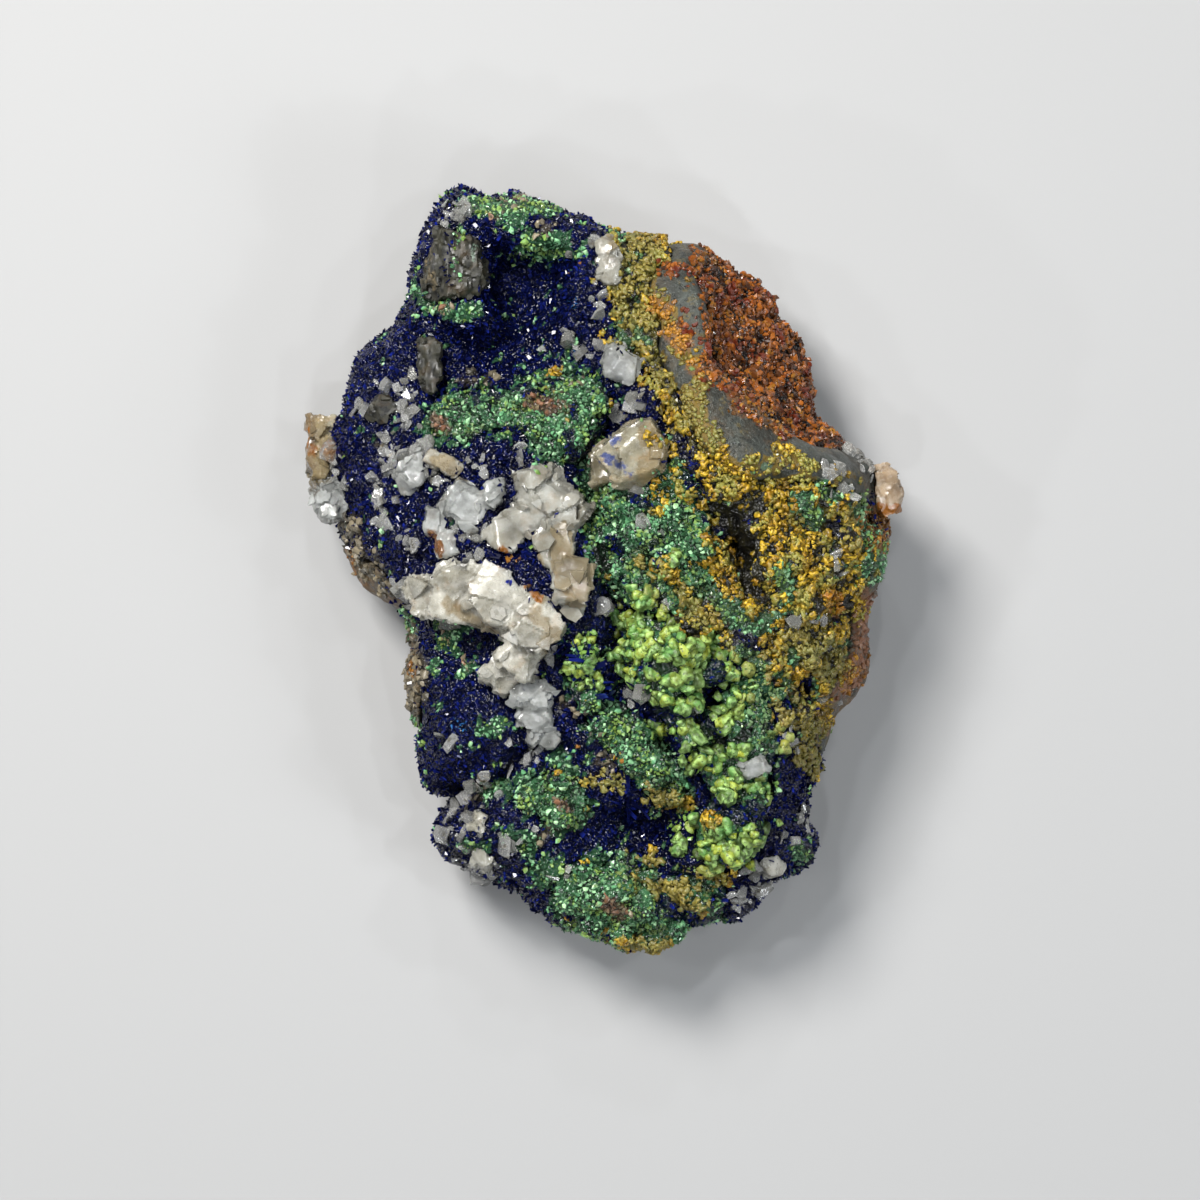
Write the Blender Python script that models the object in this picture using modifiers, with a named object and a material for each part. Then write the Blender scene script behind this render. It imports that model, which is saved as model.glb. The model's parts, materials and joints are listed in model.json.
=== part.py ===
"""Azurite specimen, lying on its broken back with its crystal side up.

A lump of iron-stained host rock carries an azurite crust, malachite and limonite growths and
separate calcite and quartz crystals. Lengths are millimetres, and MM turns them into metres.
+X is to the right, +Y towards the far end, +Z up, and the origin is on the resting flat.
"""

import math
import random

import bmesh
import bpy
import numpy as np
from mathutils import Euler, Matrix, Vector, noise
from mathutils.bvhtree import BVHTree

MM = 0.001
SEED = 7

# ---- Driving dimensions, in millimetres ----
SLAB_THICKNESS = 30.0
SCULPT_VOXEL = 1.0
BODY_TRIANGLES = 2000
FACES_KEPT = {"host_rock": 0.66, "azurite": 0.60, "malachite": 0.64, "limonite": 0.66, "goethite": 0.66}
FOOT_SCALE = 0.80
FOOT_CHAMFER = 2.6
EDGE_ROUNDING = 6.5
HEIGHT_BLEND = 5.2
RIM_BLEND = 7.0
SEAT_CELL = 6.0
GAP = 0.3
TALL = 70.0

FRONT_LUMPS = ((7.0, 0.9), (3.2, 0.45))
SIDE_LUMPS = ((10.0, 1.7), (4.5, 0.8))

AZURITE_DEPTH = 4.2
MALACHITE_DEPTH = 2.2
LIMONITE_DEPTH = 3.0
GOETHITE_DEPTH = 2.4

BLADE_RADIUS = 1.6
BLADE_LENGTH = 3.4
BLADE_GAP = 1.3
LUMP_RADIUS = 1.65
LIMONITE_GAP = 3.0
CANDIDATES = 4000

# ---- Plan of the lump, seen from above ----
OUTLINE = (
    (-20.2, 42.2), (-17.4, 44.7), (-15.3, 44.4), (-13.5, 43.5), (-10.5, 44.3), (-8.6, 45.0),
    (-5.9, 43.6), (-1.9, 41.7), (3.6, 40.0), (6.1, 38.6), (12.2, 38.0), (15.4, 35.2),
    (19.6, 30.9), (22.9, 25.3), (23.2, 23.0), (24.3, 21.5), (24.6, 17.4), (28.6, 15.2),
    (32.0, 12.4), (33.0, 8.6), (32.6, 6.0), (34.2, 4.8), (33.6, 0.2), (33.3, -1.4),
    (31.6, -4.0), (31.5, -10.8), (30.4, -13.8), (27.2, -17.5), (25.8, -23.9), (24.3, -27.6),
    (24.7, -30.4), (25.8, -32.1), (24.9, -34.5), (20.3, -36.8), (19.1, -39.8), (17.0, -41.0),
    (11.7, -41.3), (8.0, -44.5), (3.4, -44.9), (0.0, -42.9), (-4.5, -41.6), (-8.7, -38.9),
    (-11.1, -37.1), (-14.7, -35.4), (-18.5, -33.9), (-19.8, -31.5), (-18.5, -29.0), (-16.0, -26.7),
    (-16.5, -25.4), (-20.6, -25.4), (-21.3, -19.4), (-23.1, -12.7), (-22.9, -6.9), (-24.5, -3.8),
    (-28.0, -1.2), (-30.0, 2.6), (-31.4, 8.3), (-31.6, 13.0), (-31.0, 18.5), (-30.2, 22.7),
    (-28.5, 26.0), (-23.9, 29.6), (-22.2, 33.3), (-22.2, 35.9), (-21.0, 38.6),
)

# Heights of the crystal side: (x, y, z).
FACE_HEIGHTS = (
    (-17, 43, 20), (-8, 42, 23), (0, 38, 23), (0, 30, 22), (-9, 33, 21), (4, 34, 25),
    (-22, 33, 15), (-20, 27, 19), (-12, 25, 20), (-3, 25, 23), (-25, 20, 17), (-30, 13, 14),
    (-29, 22, 13), (-20, 15, 21), (-26, 8, 18), (-10, 18, 24), (-3, 18, 26), (3, 22, 26),
    (-13, 9, 26), (-5, 6, 28), (-16, 0, 26), (-8, -3, 29), (-2, -3, 27), (-22, -3, 19),
    (-19, -10, 20), (-19, -20, 19), (-12, -12, 25), (-12, -20, 23), (-8, -28, 20), (-16, -31, 17),
    (5, 37, 26), (8, 30, 29), (10, 22, 32), (12, 16, 34), (20, 12, 32), (28, 11, 27),
    (33, 7, 22), (15, 35, 27), (20, 27, 27), (24, 19, 26), (10, 8, 32), (18, 5, 31),
    (25, 2, 28), (31, -2, 21), (15, -5, 30), (22, -9, 26), (29, -12, 18), (5, 6, 30),
    (5, -7, 28), (8, -14, 28), (14, -19, 27), (19, -25, 22), (14, -32, 21), (22, -31, 18),
    (-1, -19, 24), (0, -29, 21), (-3, -37, 17), (5, -39, 16), (12, -38, 17), (18, -38, 14),
)
# Heights of the widest line round the lump, below the rounded edge of the crystal side.
RIM_HEIGHTS = (
    (-32, 12, 9), (-30, 2, 9), (-23, -8, 8), (-21, -22, 11), (-19, -31, 11), (-10, -38, 9),
    (3, -45, 9), (15, -41, 10), (24, -34, 9), (26, -22, 9), (31, -10, 10), (34, 3, 13),
    (33, 10, 15), (25, 18, 13), (20, 29, 12), (13, 38, 14), (3, 40, 15), (-9, 45, 14),
    (-20, 42, 12), (-22, 34, 10), (-28, 26, 10),
)
# Rounded rises and hollows on the crystal side: (x, y, half length, half width, turn, height).
SWELLS = {
    "top knob": (-17.8, 42.0, 4.2, 3.2, 30, 2.6),
    "far brow": (-7.0, 41.2, 7.5, 3.0, 170, 2.4),
    "vug floor slope": (-3.5, 29.0, 6.5, 4.5, 60, 2.2),
    "vug lip": (-16.5, 30.5, 6.0, 2.3, 155, 3.0),
    "second hollow": (-10.5, 25.6, 9.0, 3.8, 5, -4.2),
    "malachite shelf": (-7.0, 17.5, 12.0, 4.5, 8, 2.2),
    "calcite mound": (-9.0, -2.0, 9.0, 5.5, 160, 2.6),
    "hollow by the calcite": (-15.0, -8.5, 5.5, 4.0, 30, -2.6),
    "left shoulder": (-24.0, 15.0, 8.0, 6.5, 60, 1.5),
    "rim crest": (12.5, 17.5, 9.0, 3.6, 118, 2.6),
    "near rim crest": (21.5, 12.3, 9.0, 2.6, 168, 2.4),
    "deep pit": (15.6, 2.2, 5.4, 1.9, 112, -7.5),
    "pit mouth": (12.6, 6.2, 3.4, 1.8, 10, -2.6),
    "right pit": (29.0, -7.2, 3.2, 1.6, 100, -5.0),
    "small pit": (23.4, -13.6, 2.2, 1.5, 100, -4.4),
    "button swell": (7.5, -10.5, 5.5, 4.5, 130, 2.4),
    "lower button swell": (15.0, -29.5, 5.5, 4.2, 40, 2.4),
    "gap between buttons": (13.6, -14.4, 4.0, 1.6, 60, -3.4),
    "hollow above the foot": (3.6, -30.5, 6.0, 3.4, 165, -3.6),
    "foot swell": (1.5, -38.5, 7.5, 3.5, 165, 2.4),
    "lobe swell": (-15.5, -31.2, 4.5, 3.6, 150, 2.4),
    "knot swell": (-5.6, -26.6, 4.5, 2.8, 170, 1.8),
}
# Clefts: (half width, depth, points along the bottom).
CLEFTS = {
    "valley": (2.6, 3.6, ((2.5, 19.0), (-0.6, 11.0), (0.4, 2.0), (2.2, -5.0), (2.6, -14.0), (7.4, -20.0))),
    "lower valley": (2.4, 3.0, ((7.4, -20.0), (9.4, -26.0), (7.0, -30.0))),
    "lobe cleft": (1.5, 5.5, ((-18.0, -27.0), (-14.0, -26.0), (-10.5, -22.5), (-7.5, -20.0))),
    "button cleft": (1.4, 3.2, ((13.0, -6.5), (11.6, -12.0), (16.4, -17.5), (12.4, -21.5))),
    "foot cleft": (1.5, 2.4, ((2.0, -34.0), (6.0, -36.0), (11.0, -42.0))),
}
# Basins with steep walls: (depth, wall width, outline).
BASINS = {
    "vug": (8.5, 3.4, ((-14.2, 39.0), (-11.0, 38.2), (-6.4, 38.4), (-2.6, 35.6), (-2.0, 31.6),
                       (-5.0, 28.0), (-9.3, 26.6), (-13.1, 28.4), (-15.2, 31.6), (-14.9, 36.0))),
    "iron hollow": (8.0, 3.0, ((9.6, 36.2), (13.5, 37.2), (15.2, 45.0), (45.0, 42.0), (45.0, 13.5), (28.0, 12.9),
                               (24.6, 13.2), (21.6, 14.6), (17.7, 17.4), (14.9, 20.4), (11.9, 23.0),
                               (11.3, 28.1), (11.4, 32.8))),
    "left broken side": (7.0, 3.0, ((-24.2, -1.5), (-21.2, -6.0), (-20.7, -12.0), (-19.8, -18.0), (-21.0, -24.0),
                                    (-30.0, -24.0), (-36.0, 4.0), (-30.5, 5.0))),
    "right broken side": (6.0, 3.0, ((29.6, -3.6), (30.0, -9.0), (28.6, -13.4), (26.0, -17.6), (25.0, -24.0),
                                     (36.0, -22.0), (40.0, -4.0), (34.0, -2.6))),
}

# ---- Plans of the mineral growths ----
AZURITE_PLAN = (
    (-24.0, 49.0), (0.2, 49.0), (1.6, 40.4), (4.0, 37.4), (4.4, 31.6), (4.0, 26.9), (6.6, 23.4), (9.0, 20.6),
    (9.2, 15.6), (9.0, 12.0), (1.4, 12.6), (-0.9, 11.8), (-1.2, 5.9), (0.0, 0.1), (1.8, -4.0),
    (7.0, -4.0), (12.6, -6.4), (18.2, -9.2), (23.6, -14.0), (24.8, -21.0), (30.0, -25.0),
    (32.0, -38.0), (16.0, -50.0), (-14.0, -48.0), (-26.0, -36.0), (-26.0, -26.5), (-24.5, -22.0),
    (-20.6, -18.4), (-20.9, -11.0), (-21.4, -6.0), (-25.0, 0.2), (-30.5, 3.6), (-36.0, 6.0), (-38.0, 24.0),
)
MALACHITE_PLANS = {
    "malachite_band": ((-20.1, 18.5), (-18.7, 20.2), (-15.2, 20.9), (-10.5, 20.4), (-8.7, 21.7), (-4.7, 22.5),
                       (-0.9, 22.3), (0.9, 20.5), (0.7, 17.0), (-0.9, 14.1), (-3.2, 12.4), (-7.0, 13.9),
                       (-8.7, 16.2), (-12.2, 16.7), (-15.2, 15.3), (-19.2, 15.7)),
    "malachite_stripe": ((-0.8, 11.2), (2.5, 12.6), (5.0, 12.0), (7.5, 12.4), (9.9, 11.4), (11.9, 8.3), (12.6, 3.6),
                         (12.9, -1.4), (10.8, -4.4), (7.6, -5.0), (4.5, -4.4), (1.4, -3.0), (-0.6, 0.2), (-1.6, 5.5)),
    "malachite_strand": ((-4.0, -8.3), (-1.2, -7.6), (0.0, -10.6), (-0.2, -13.9), (4.7, -16.8), (7.9, -20.3),
                         (10.0, -24.6), (9.6, -27.3), (7.0, -27.3), (3.5, -23.8), (0.2, -19.9), (-1.4, -16.8),
                         (-3.3, -13.9)),
    "malachite_buttons": ((1.6, -4.4), (4.7, -5.6), (7.6, -6.2), (10.5, -9.0), (14.0, -10.4), (17.0, -12.6),
                          (19.6, -16.0), (20.6, -20.3), (19.4, -23.0), (19.0, -27.0), (18.8, -30.8), (16.9, -33.6),
                          (13.4, -34.1), (11.5, -32.5), (11.3, -28.5), (13.4, -26.7), (11.7, -23.2), (9.6, -19.7),
                          (6.4, -15.8), (4.1, -13.4), (2.3, -10.4)),
    "malachite_foot": ((-5.1, -36.0), (-2.3, -33.9), (0.5, -34.9), (2.6, -32.3), (4.7, -35.1), (8.4, -36.0),
                       (13.1, -35.4), (14.7, -37.2), (13.1, -48.0), (-3.5, -48.0)),
    "malachite_knot": ((-10.3, -25.8), (-7.0, -23.9), (-3.5, -23.4), (-1.9, -26.1), (-2.1, -28.8), (-4.7, -29.7),
                       (-7.2, -28.3), (-9.3, -27.4)),
}
LIMONITE_PLAN = (
    (1.8, 38.8), (4.0, 39.4), (7.8, 38.0), (8.2, 36.2), (5.8, 34.6), (5.2, 31.2), (6.9, 28.1), (6.4, 25.3),
    (7.6, 22.3), (9.9, 17.6), (11.3, 13.6), (14.9, 10.4), (22.2, 10.2), (28.4, 9.2), (31.0, 6.6), (31.6, 1.6),
    (30.2, -2.2), (28.9, -3.6), (28.7, -9.0), (27.2, -13.0), (24.9, -16.6), (23.9, -22.4), (23.0, -20.5),
    (22.0, -14.6), (17.2, -10.4), (14.0, -8.8), (10.9, -8.0), (7.6, -5.0), (10.2, -4.4), (12.4, -2.0),
    (12.0, 4.0), (11.2, 9.4), (9.9, 10.8), (8.2, 11.4), (8.0, 15.6), (7.4, 21.7), (4.4, 24.0), (2.0, 26.2),
    (2.6, 27.8), (1.4, 29.6), (2.4, 31.6), (1.1, 33.8), (1.9, 35.4), (0.9, 37.2),
)
GOETHITE_PLAN = (
    (10.6, 35.0), (14.4, 35.8), (17.0, 44.0), (45.0, 42.0), (40.0, 15.6), (28.0, 14.2), (24.8, 14.4), (22.2, 15.8),
    (18.6, 18.6), (15.8, 21.4), (13.2, 24.0), (12.6, 28.1), (12.4, 31.6),
)

# ---- Separate crystals. Each is (x, y, length, width, height, turn, lean) ----
CRYSTALS = {
    "calcite_spar_mass": ("milky", (
        (-20.0, -2.7, 5.0, 4.4, 2.8, 15, 6), (-15.8, -2.3, 7.4, 7.0, 4.4, 170, -5),
        (-11.4, -3.6, 7.8, 7.6, 5.2, 155, 4), (-7.4, -6.4, 6.6, 5.8, 4.8, 120, 8),
        (-8.8, -9.4, 5.8, 5.0, 4.4, 60, -6), (-11.0, -11.8, 5.8, 4.2, 3.8, 50, -8))),
    "calcite_spar_fan": ("milky", (
        (-6.1, 8.4, 7.4, 6.6, 4.4, 100, 8), (-9.6, 5.1, 7.4, 4.2, 4.2, 35, -6), (-3.1, 6.4, 4.2, 3.4, 3.4, 60, 5),
        (-4.9, 2.6, 7.0, 3.8, 3.6, 100, -4), (-3.0, -1.8, 6.2, 4.6, 3.6, 75, 6))),
    "calcite_plate": ("clear", ((-15.3, 7.7, 5.4, 4.4, 2.8, 145, 8), (-12.2, 9.0, 3.6, 2.6, 2.2, 50, -10))),
    "calcite_small_plate": ("clear", ((-18.7, 5.3, 3.6, 3.2, 2.4, 80, 6), (-17.6, 2.9, 3.4, 3.0, 2.2, 20, -8))),
    "calcite_long_blade": ("clear", ((-17.6, 11.9, 6.0, 1.9, 2.6, 145, 10),)),
    "calcite_block_left": ("clear", ((-22.0, 11.2, 4.2, 3.6, 3.0, 30, -6),)),
    "calcite_chip_left": ("smoky", ((-25.4, 18.8, 3.6, 3.0, 2.8, 60, 8),)),
    "smoky_quartz_stack": ("clear", (
        (-7.9, -14.2, 5.2, 4.0, 3.4, 165, 5), (-7.4, -16.9, 4.8, 2.9, 3.2, 175, -5),
        (-6.7, -19.0, 3.8, 2.8, 2.8, 150, 4))),
    "tan_spar_block": ("stained", ((4.2, 13.2, 7.6, 6.8, 5.2, 35, 6), (0.8, 12.2, 4.0, 4.2, 3.6, 10, -6))),
    "white_spar_wedge": ("milky", ((2.9, 23.6, 5.2, 3.8, 3.8, 155, -8),)),
    "right_spar_block": ("stained", ((33.3, 9.4, 5.6, 3.8, 5.0, 105, 10),)),
    "left_edge_spar": ("stained", ((-33.4, 14.4, 8.8, 3.2, 4.6, 84, 4), (-32.2, 21.0, 5.0, 3.2, 4.0, 60, -6))),
    "left_lower_spar": ("clear", ((-31.5, 8.2, 5.2, 4.0, 3.8, 115, 6),)),
    "vug_quartz_nodule": ("smoky", (
        (-17.2, 35.5, 8.6, 4.6, 6.4, 86, 4), (-15.4, 35.3, 6.6, 4.2, 5.6, 98, -8),
        (-19.0, 34.9, 6.2, 3.2, 5.0, 78, 8))),
    "fin_crystal": ("smoky", ((-19.8, 23.9, 6.6, 2.4, 4.0, 95, -4),)),
    "far_edge_quartz": ("milky", ((0.1, 40.0, 5.6, 2.8, 4.2, 118, 10), (1.1, 35.8, 5.4, 2.4, 3.4, 103, -6))),
    "lower_right_quartz": ("clear", ((17.9, -22.6, 3.4, 2.6, 2.4, 20, 8),)),
    "white_chip": ("milky", ((20.0, -34.2, 3.2, 3.0, 2.6, 15, -6),)),
    "lobe_quartz": ("clear", ((-14.0, -29.3, 2.2, 2.0, 2.2, 70, 6),)),
    "lobe_spar": ("clear", ((-13.4, -33.4, 3.2, 2.4, 2.4, 50, -8),)),
}
CRYSTAL_CUTS = 7
CRYSTAL_SINK = 0.42

# ---- Finishes: colour, roughness, metallic, transmission ----
FINISHES = {
    "host_rock": ((0.16, 0.15, 0.11), 0.85, 0.0, 0.0),
    "azurite": ((0.012, 0.020, 0.16), 0.22, 0.0, 0.0),
    "malachite": ((0.09, 0.32, 0.12), 0.55, 0.0, 0.0),
    "limonite": ((0.34, 0.21, 0.03), 0.75, 0.0, 0.0),
    "goethite": ((0.20, 0.065, 0.015), 0.70, 0.0, 0.0),
    "milky": ((0.72, 0.70, 0.62), 0.35, 0.0, 0.15),
    "clear": ((0.62, 0.64, 0.62), 0.20, 0.0, 0.45),
    "stained": ((0.60, 0.42, 0.26), 0.35, 0.0, 0.10),
    "smoky": ((0.24, 0.22, 0.16), 0.45, 0.0, 0.10),
}


# ---- Scene helpers ----
def clear_scene():
    for obj in list(bpy.data.objects):
        bpy.data.objects.remove(obj)


def make_collection(name):
    collection = bpy.data.collections.new(name)
    bpy.context.scene.collection.children.link(collection)
    return collection


def make_material(name):
    colour, roughness, metallic, transmission = FINISHES[name]
    material = bpy.data.materials.new(name)
    material.use_nodes = True
    shader = material.node_tree.nodes["Principled BSDF"]
    shader.inputs["Base Color"].default_value = (*colour, 1.0)
    shader.inputs["Roughness"].default_value = roughness
    shader.inputs["Metallic"].default_value = metallic
    shader.inputs["Transmission Weight"].default_value = transmission
    material.diffuse_color = (*colour, 1.0)
    return material


def add_object(name, mesh, collection):
    obj = bpy.data.objects.new(name, mesh)
    collection.objects.link(obj)
    return obj


def add_helper(name, mesh, helpers):
    """A cutter or a guide, which isn't one of the specimen's pieces."""
    obj = add_object(name, mesh, helpers)
    obj.hide_render = True
    obj.display_type = "WIRE"
    return obj


def apply_modifiers(obj):
    bpy.context.view_layer.update()
    graph = bpy.context.evaluated_depsgraph_get()
    mesh = bpy.data.meshes.new_from_object(obj.evaluated_get(graph))
    obj.modifiers.clear()
    if obj.type == "MESH":
        obj.data = mesh
    return mesh


def boolean(obj, other, operation):
    """Cuts or joins two closed pieces. The exact solver loses whole pieces of this rough lump."""
    modifier = obj.modifiers.new(operation, "BOOLEAN")
    modifier.operation = operation
    modifier.solver = "MANIFOLD"
    modifier.object = other
    apply_modifiers(obj)
    settle_order(obj)
    return obj


def mesh_from(bm, name):
    mesh = bpy.data.meshes.new(name)
    bm.to_mesh(mesh)
    bm.free()
    return mesh


def settle_order(obj):
    """Rebuilds the mesh in an order that doesn't depend on how the last step ran."""
    bm = bmesh.new()
    bm.from_mesh(obj.data)
    verts = sorted(bm.verts, key=lambda vert: vert.co[:])
    place = {vert: number for number, vert in enumerate(verts)}
    rings = []
    for face in bm.faces:
        ring = [place[vert] for vert in face.verts]
        first = ring.index(min(ring))
        rings.append(ring[first:] + ring[:first])
    mesh = bpy.data.meshes.new(obj.name)
    mesh.from_pydata([vert.co[:] for vert in verts], [], sorted(rings))
    bm.free()
    obj.data = mesh


def islands(bm):
    """The mesh's separate bodies, as lists of vertices."""
    left, found = set(bm.verts), []
    while left:
        seed = left.pop()
        body, edge = [seed], [seed]
        while edge:
            for link in edge.pop().link_edges:
                for vert in link.verts:
                    if vert in left:
                        left.remove(vert)
                        body.append(vert)
                        edge.append(vert)
        found.append(body)
    return found


def keep_largest_body(obj):
    bm = bmesh.new()
    bm.from_mesh(obj.data)
    bmesh.ops.remove_doubles(bm, verts=bm.verts, dist=0.001 * MM)
    bmesh.ops.dissolve_degenerate(bm, dist=0.002 * MM, edges=bm.edges)
    bodies = sorted(islands(bm), key=len)
    for body in bodies[:-1]:
        bmesh.ops.delete(bm, geom=body, context="VERTS")
    bmesh.ops.triangulate(bm, faces=bm.faces)
    bm.to_mesh(obj.data)
    bm.free()
    return obj


# ---- Plan geometry, on arrays of millimetre points ----
def edge_distance(x, y, plan):
    """Distance inside the closed plan, negative outside it."""
    best = np.full(x.shape, 1e9)
    inside = np.zeros(x.shape, bool)
    for (ax, ay), (bx, by) in zip(plan, (*plan[1:], plan[0])):
        dx, dy = bx - ax, by - ay
        t = np.clip(((x - ax) * dx + (y - ay) * dy) / (dx * dx + dy * dy), 0, 1)
        best = np.minimum(best, np.hypot(x - ax - t * dx, y - ay - t * dy))
        crosses = (ay > y) != (by > y)
        at = ax + (y - ay) * dx / (dy if dy else 1e-9)
        inside ^= crosses & (x < at)
    return np.where(inside, best, -best)


def line_distance(x, y, points):
    best = np.full(x.shape, 1e9)
    for (ax, ay), (bx, by) in zip(points, points[1:]):
        dx, dy = bx - ax, by - ay
        t = np.clip(((x - ax) * dx + (y - ay) * dy) / (dx * dx + dy * dy), 0, 1)
        best = np.minimum(best, np.hypot(x - ax - t * dx, y - ay - t * dy))
    return best


def blend_heights(x, y, controls, spread):
    """Smooth surface through hand-set heights, as their distance-weighted mean."""
    total, weights = np.zeros(x.shape), np.full(x.shape, 1e-12)
    for cx, cy, height in controls:
        weight = np.exp(-((x - cx) ** 2 + (y - cy) ** 2) / (2 * spread**2))
        total += weight * height
        weights += weight
    return total / weights


def smooth(t):
    t = np.clip(t, 0, 1)
    return t * t * (3 - 2 * t)


def swell(x, y, spec):
    cx, cy, half_length, half_width, turn, height = spec
    c, s = math.cos(math.radians(turn)), math.sin(math.radians(turn))
    u = ((x - cx) * c + (y - cy) * s) / half_length
    v = ((y - cy) * c - (x - cx) * s) / half_width
    return height * smooth(1 - 0.72 * np.hypot(u, v))


def face_height(x, y):
    """Height of the crystal side, without its small lumps."""
    z = blend_heights(x, y, FACE_HEIGHTS, HEIGHT_BLEND)
    for spec in SWELLS.values():
        z = z + swell(x, y, spec)
    for half_width, depth, points in CLEFTS.values():
        z = z - depth * smooth(1 - line_distance(x, y, points) / half_width)
    for depth, wall, plan in BASINS.values():
        z = z - depth * smooth(edge_distance(x, y, plan) / wall)
    rim = blend_heights(x, y, RIM_HEIGHTS, RIM_BLEND)
    inset = np.clip(edge_distance(x, y, OUTLINE) / EDGE_ROUNDING, 0, 1)
    return rim + np.maximum(z - rim, 1.0) * np.sqrt(1 - (1 - inset) ** 2)


def lumps(points, scales):
    """Rough lumps as a displacement of each point, in millimetres."""
    moved = np.zeros(points.shape)
    for number, (size, height) in enumerate(scales):
        shift = Vector((13.0 * number + SEED, 5.0 * number, 3.0))
        for i, point in enumerate(points):
            moved[i] += height * np.array(noise.noise_vector(Vector(point) / size + shift))
    return moved


# ---- The whole lump, before it is parted into minerals ----
def plan_prism(name, plan, bottom, top, helpers):
    """An upright prism on a plan, from a filled and extruded curve."""
    curve = bpy.data.curves.new(name, "CURVE")
    curve.dimensions = "2D"
    curve.fill_mode = "BOTH"
    curve.extrude = (top - bottom) / 2 * MM
    spline = curve.splines.new("POLY")
    spline.points.add(len(plan) - 1)
    for point, (x, y) in zip(spline.points, plan):
        point.co = (x * MM, y * MM, 0, 1)
    spline.use_cyclic_u = True
    flat = add_object(name + " outline", curve, helpers)
    flat.location.z = (top + bottom) / 2 * MM
    mesh = apply_modifiers(flat)
    mesh.transform(flat.matrix_world)
    bpy.data.objects.remove(flat)
    bm = bmesh.new()
    bm.from_mesh(mesh)
    bmesh.ops.remove_doubles(bm, verts=bm.verts, dist=0.001 * MM)
    bmesh.ops.recalc_face_normals(bm, faces=bm.faces)
    return add_helper(name, mesh_from(bm, name), helpers)


def sculpt_body(points):
    """Turns the upright slab into the lump: crystal side, rounded edge, undercut sides and resting flat."""
    x, y = points[:, 0], points[:, 1]
    level = np.clip(points[:, 2] / SLAB_THICKNESS, 0, 1)
    inset = np.maximum(edge_distance(x, y, OUTLINE), 0)
    rim = blend_heights(x, y, RIM_HEIGHTS, RIM_BLEND)
    on_face = level > 0.985
    shaped = np.empty(points.shape)
    draw_in = FOOT_SCALE + (1 - FOOT_SCALE) * np.sin(level * math.pi / 2)
    shaped[:, 0] = x * draw_in
    shaped[:, 1] = y * draw_in
    chamfer = np.maximum(FOOT_CHAMFER - inset, 0) * (level < 0.02)
    shaped[:, 2] = np.where(on_face, face_height(x, y), rim * level + chamfer * 0.6)
    rough = np.where(on_face[:, None], lumps(points, FRONT_LUMPS), lumps(points, SIDE_LUMPS))
    in_foot = (level < 0.02) & (inset >= FOOT_CHAMFER)
    rough[in_foot] = 0
    shaped += rough
    shaped[:, 2] = np.maximum(shaped[:, 2], 0)
    return shaped


def make_body(helpers):
    body = plan_prism("whole lump", OUTLINE, 0, SLAB_THICKNESS, helpers)
    remesh = body.modifiers.new("even faces", "REMESH")
    remesh.mode = "VOXEL"
    remesh.voxel_size = SCULPT_VOXEL * MM
    apply_modifiers(body)
    settle_order(body)
    flat = np.empty(len(body.data.vertices) * 3)
    body.data.vertices.foreach_get("co", flat)
    points = sculpt_body(flat.reshape(-1, 3) / MM)
    body.data.vertices.foreach_set("co", (points * MM).ravel())
    body.data.update()
    body.data.calc_loop_triangles()
    thin_faces(body, BODY_TRIANGLES / len(body.data.loop_triangles))
    return keep_largest_body(body)


def thin_faces(obj, ratio):
    """Collapses the slivers that cutting leaves, the flattest first."""
    decimate = obj.modifiers.new("fewer faces", "DECIMATE")
    decimate.ratio = ratio
    apply_modifiers(obj)


def grown(piece, by, helpers):
    """A copy of a piece, thicker by a gap all over."""
    copy = add_helper(piece.name + " and gap", piece.data.copy(), helpers)
    displace = copy.modifiers.new("gap", "DISPLACE")
    displace.strength = by * MM
    displace.mid_level = 0
    apply_modifiers(copy)
    return copy


# ---- Parting the lump into minerals ----
def space_above(name, depth, helpers):
    """All space above a smooth floor that lies a depth under the crystal side."""
    side = 2 * 55.0
    cells = round(side / SEAT_CELL)
    bm = bmesh.new()
    bmesh.ops.create_grid(bm, x_segments=cells, y_segments=cells, size=side / 2 * MM)
    grid = np.array([vert.co[:] for vert in bm.verts]) / MM
    heights = np.full(len(grid), 1e9)
    for dx in (-2.0, 0.0, 2.0):
        for dy in (-2.0, 0.0, 2.0):
            heights = np.minimum(heights, face_height(grid[:, 0] + dx, grid[:, 1] + dy))
    for vert, height in zip(bm.verts, heights):
        vert.co.z = (height - depth) * MM
    bmesh.ops.triangulate(bm, faces=bm.faces)
    lid = bmesh.ops.extrude_face_region(bm, geom=list(bm.faces))
    for item in lid["geom"]:
        if isinstance(item, bmesh.types.BMVert):
            item.co.z = TALL * MM
    bmesh.ops.recalc_face_normals(bm, faces=bm.faces)
    return add_helper(name, mesh_from(bm, name), helpers)


def widened(plan, by):
    """The plan with every corner moved outwards by a gap."""
    moved = []
    area = sum(a[0] * b[1] - b[0] * a[1] for a, b in zip(plan, (*plan[1:], plan[0])))
    side = 1 if area > 0 else -1
    for before, at, after in zip((plan[-1], *plan[:-1]), plan, (*plan[1:], plan[0])):
        along = (Vector(at) - Vector(before)).normalized() + (Vector(after) - Vector(at)).normalized()
        out = Vector((along.y, -along.x)).normalized() * side
        moved.append((at[0] + out.x * by, at[1] + out.y * by))
    return tuple(moved)


def growth_space(name, plan, depth, by, helpers):
    column = plan_prism(name + " column", widened(plan, by) if by else plan, -5, TALL - 5, helpers)
    floor = space_above(name + " floor", depth + by, helpers)
    boolean(column, floor, "INTERSECT")
    return column


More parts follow.
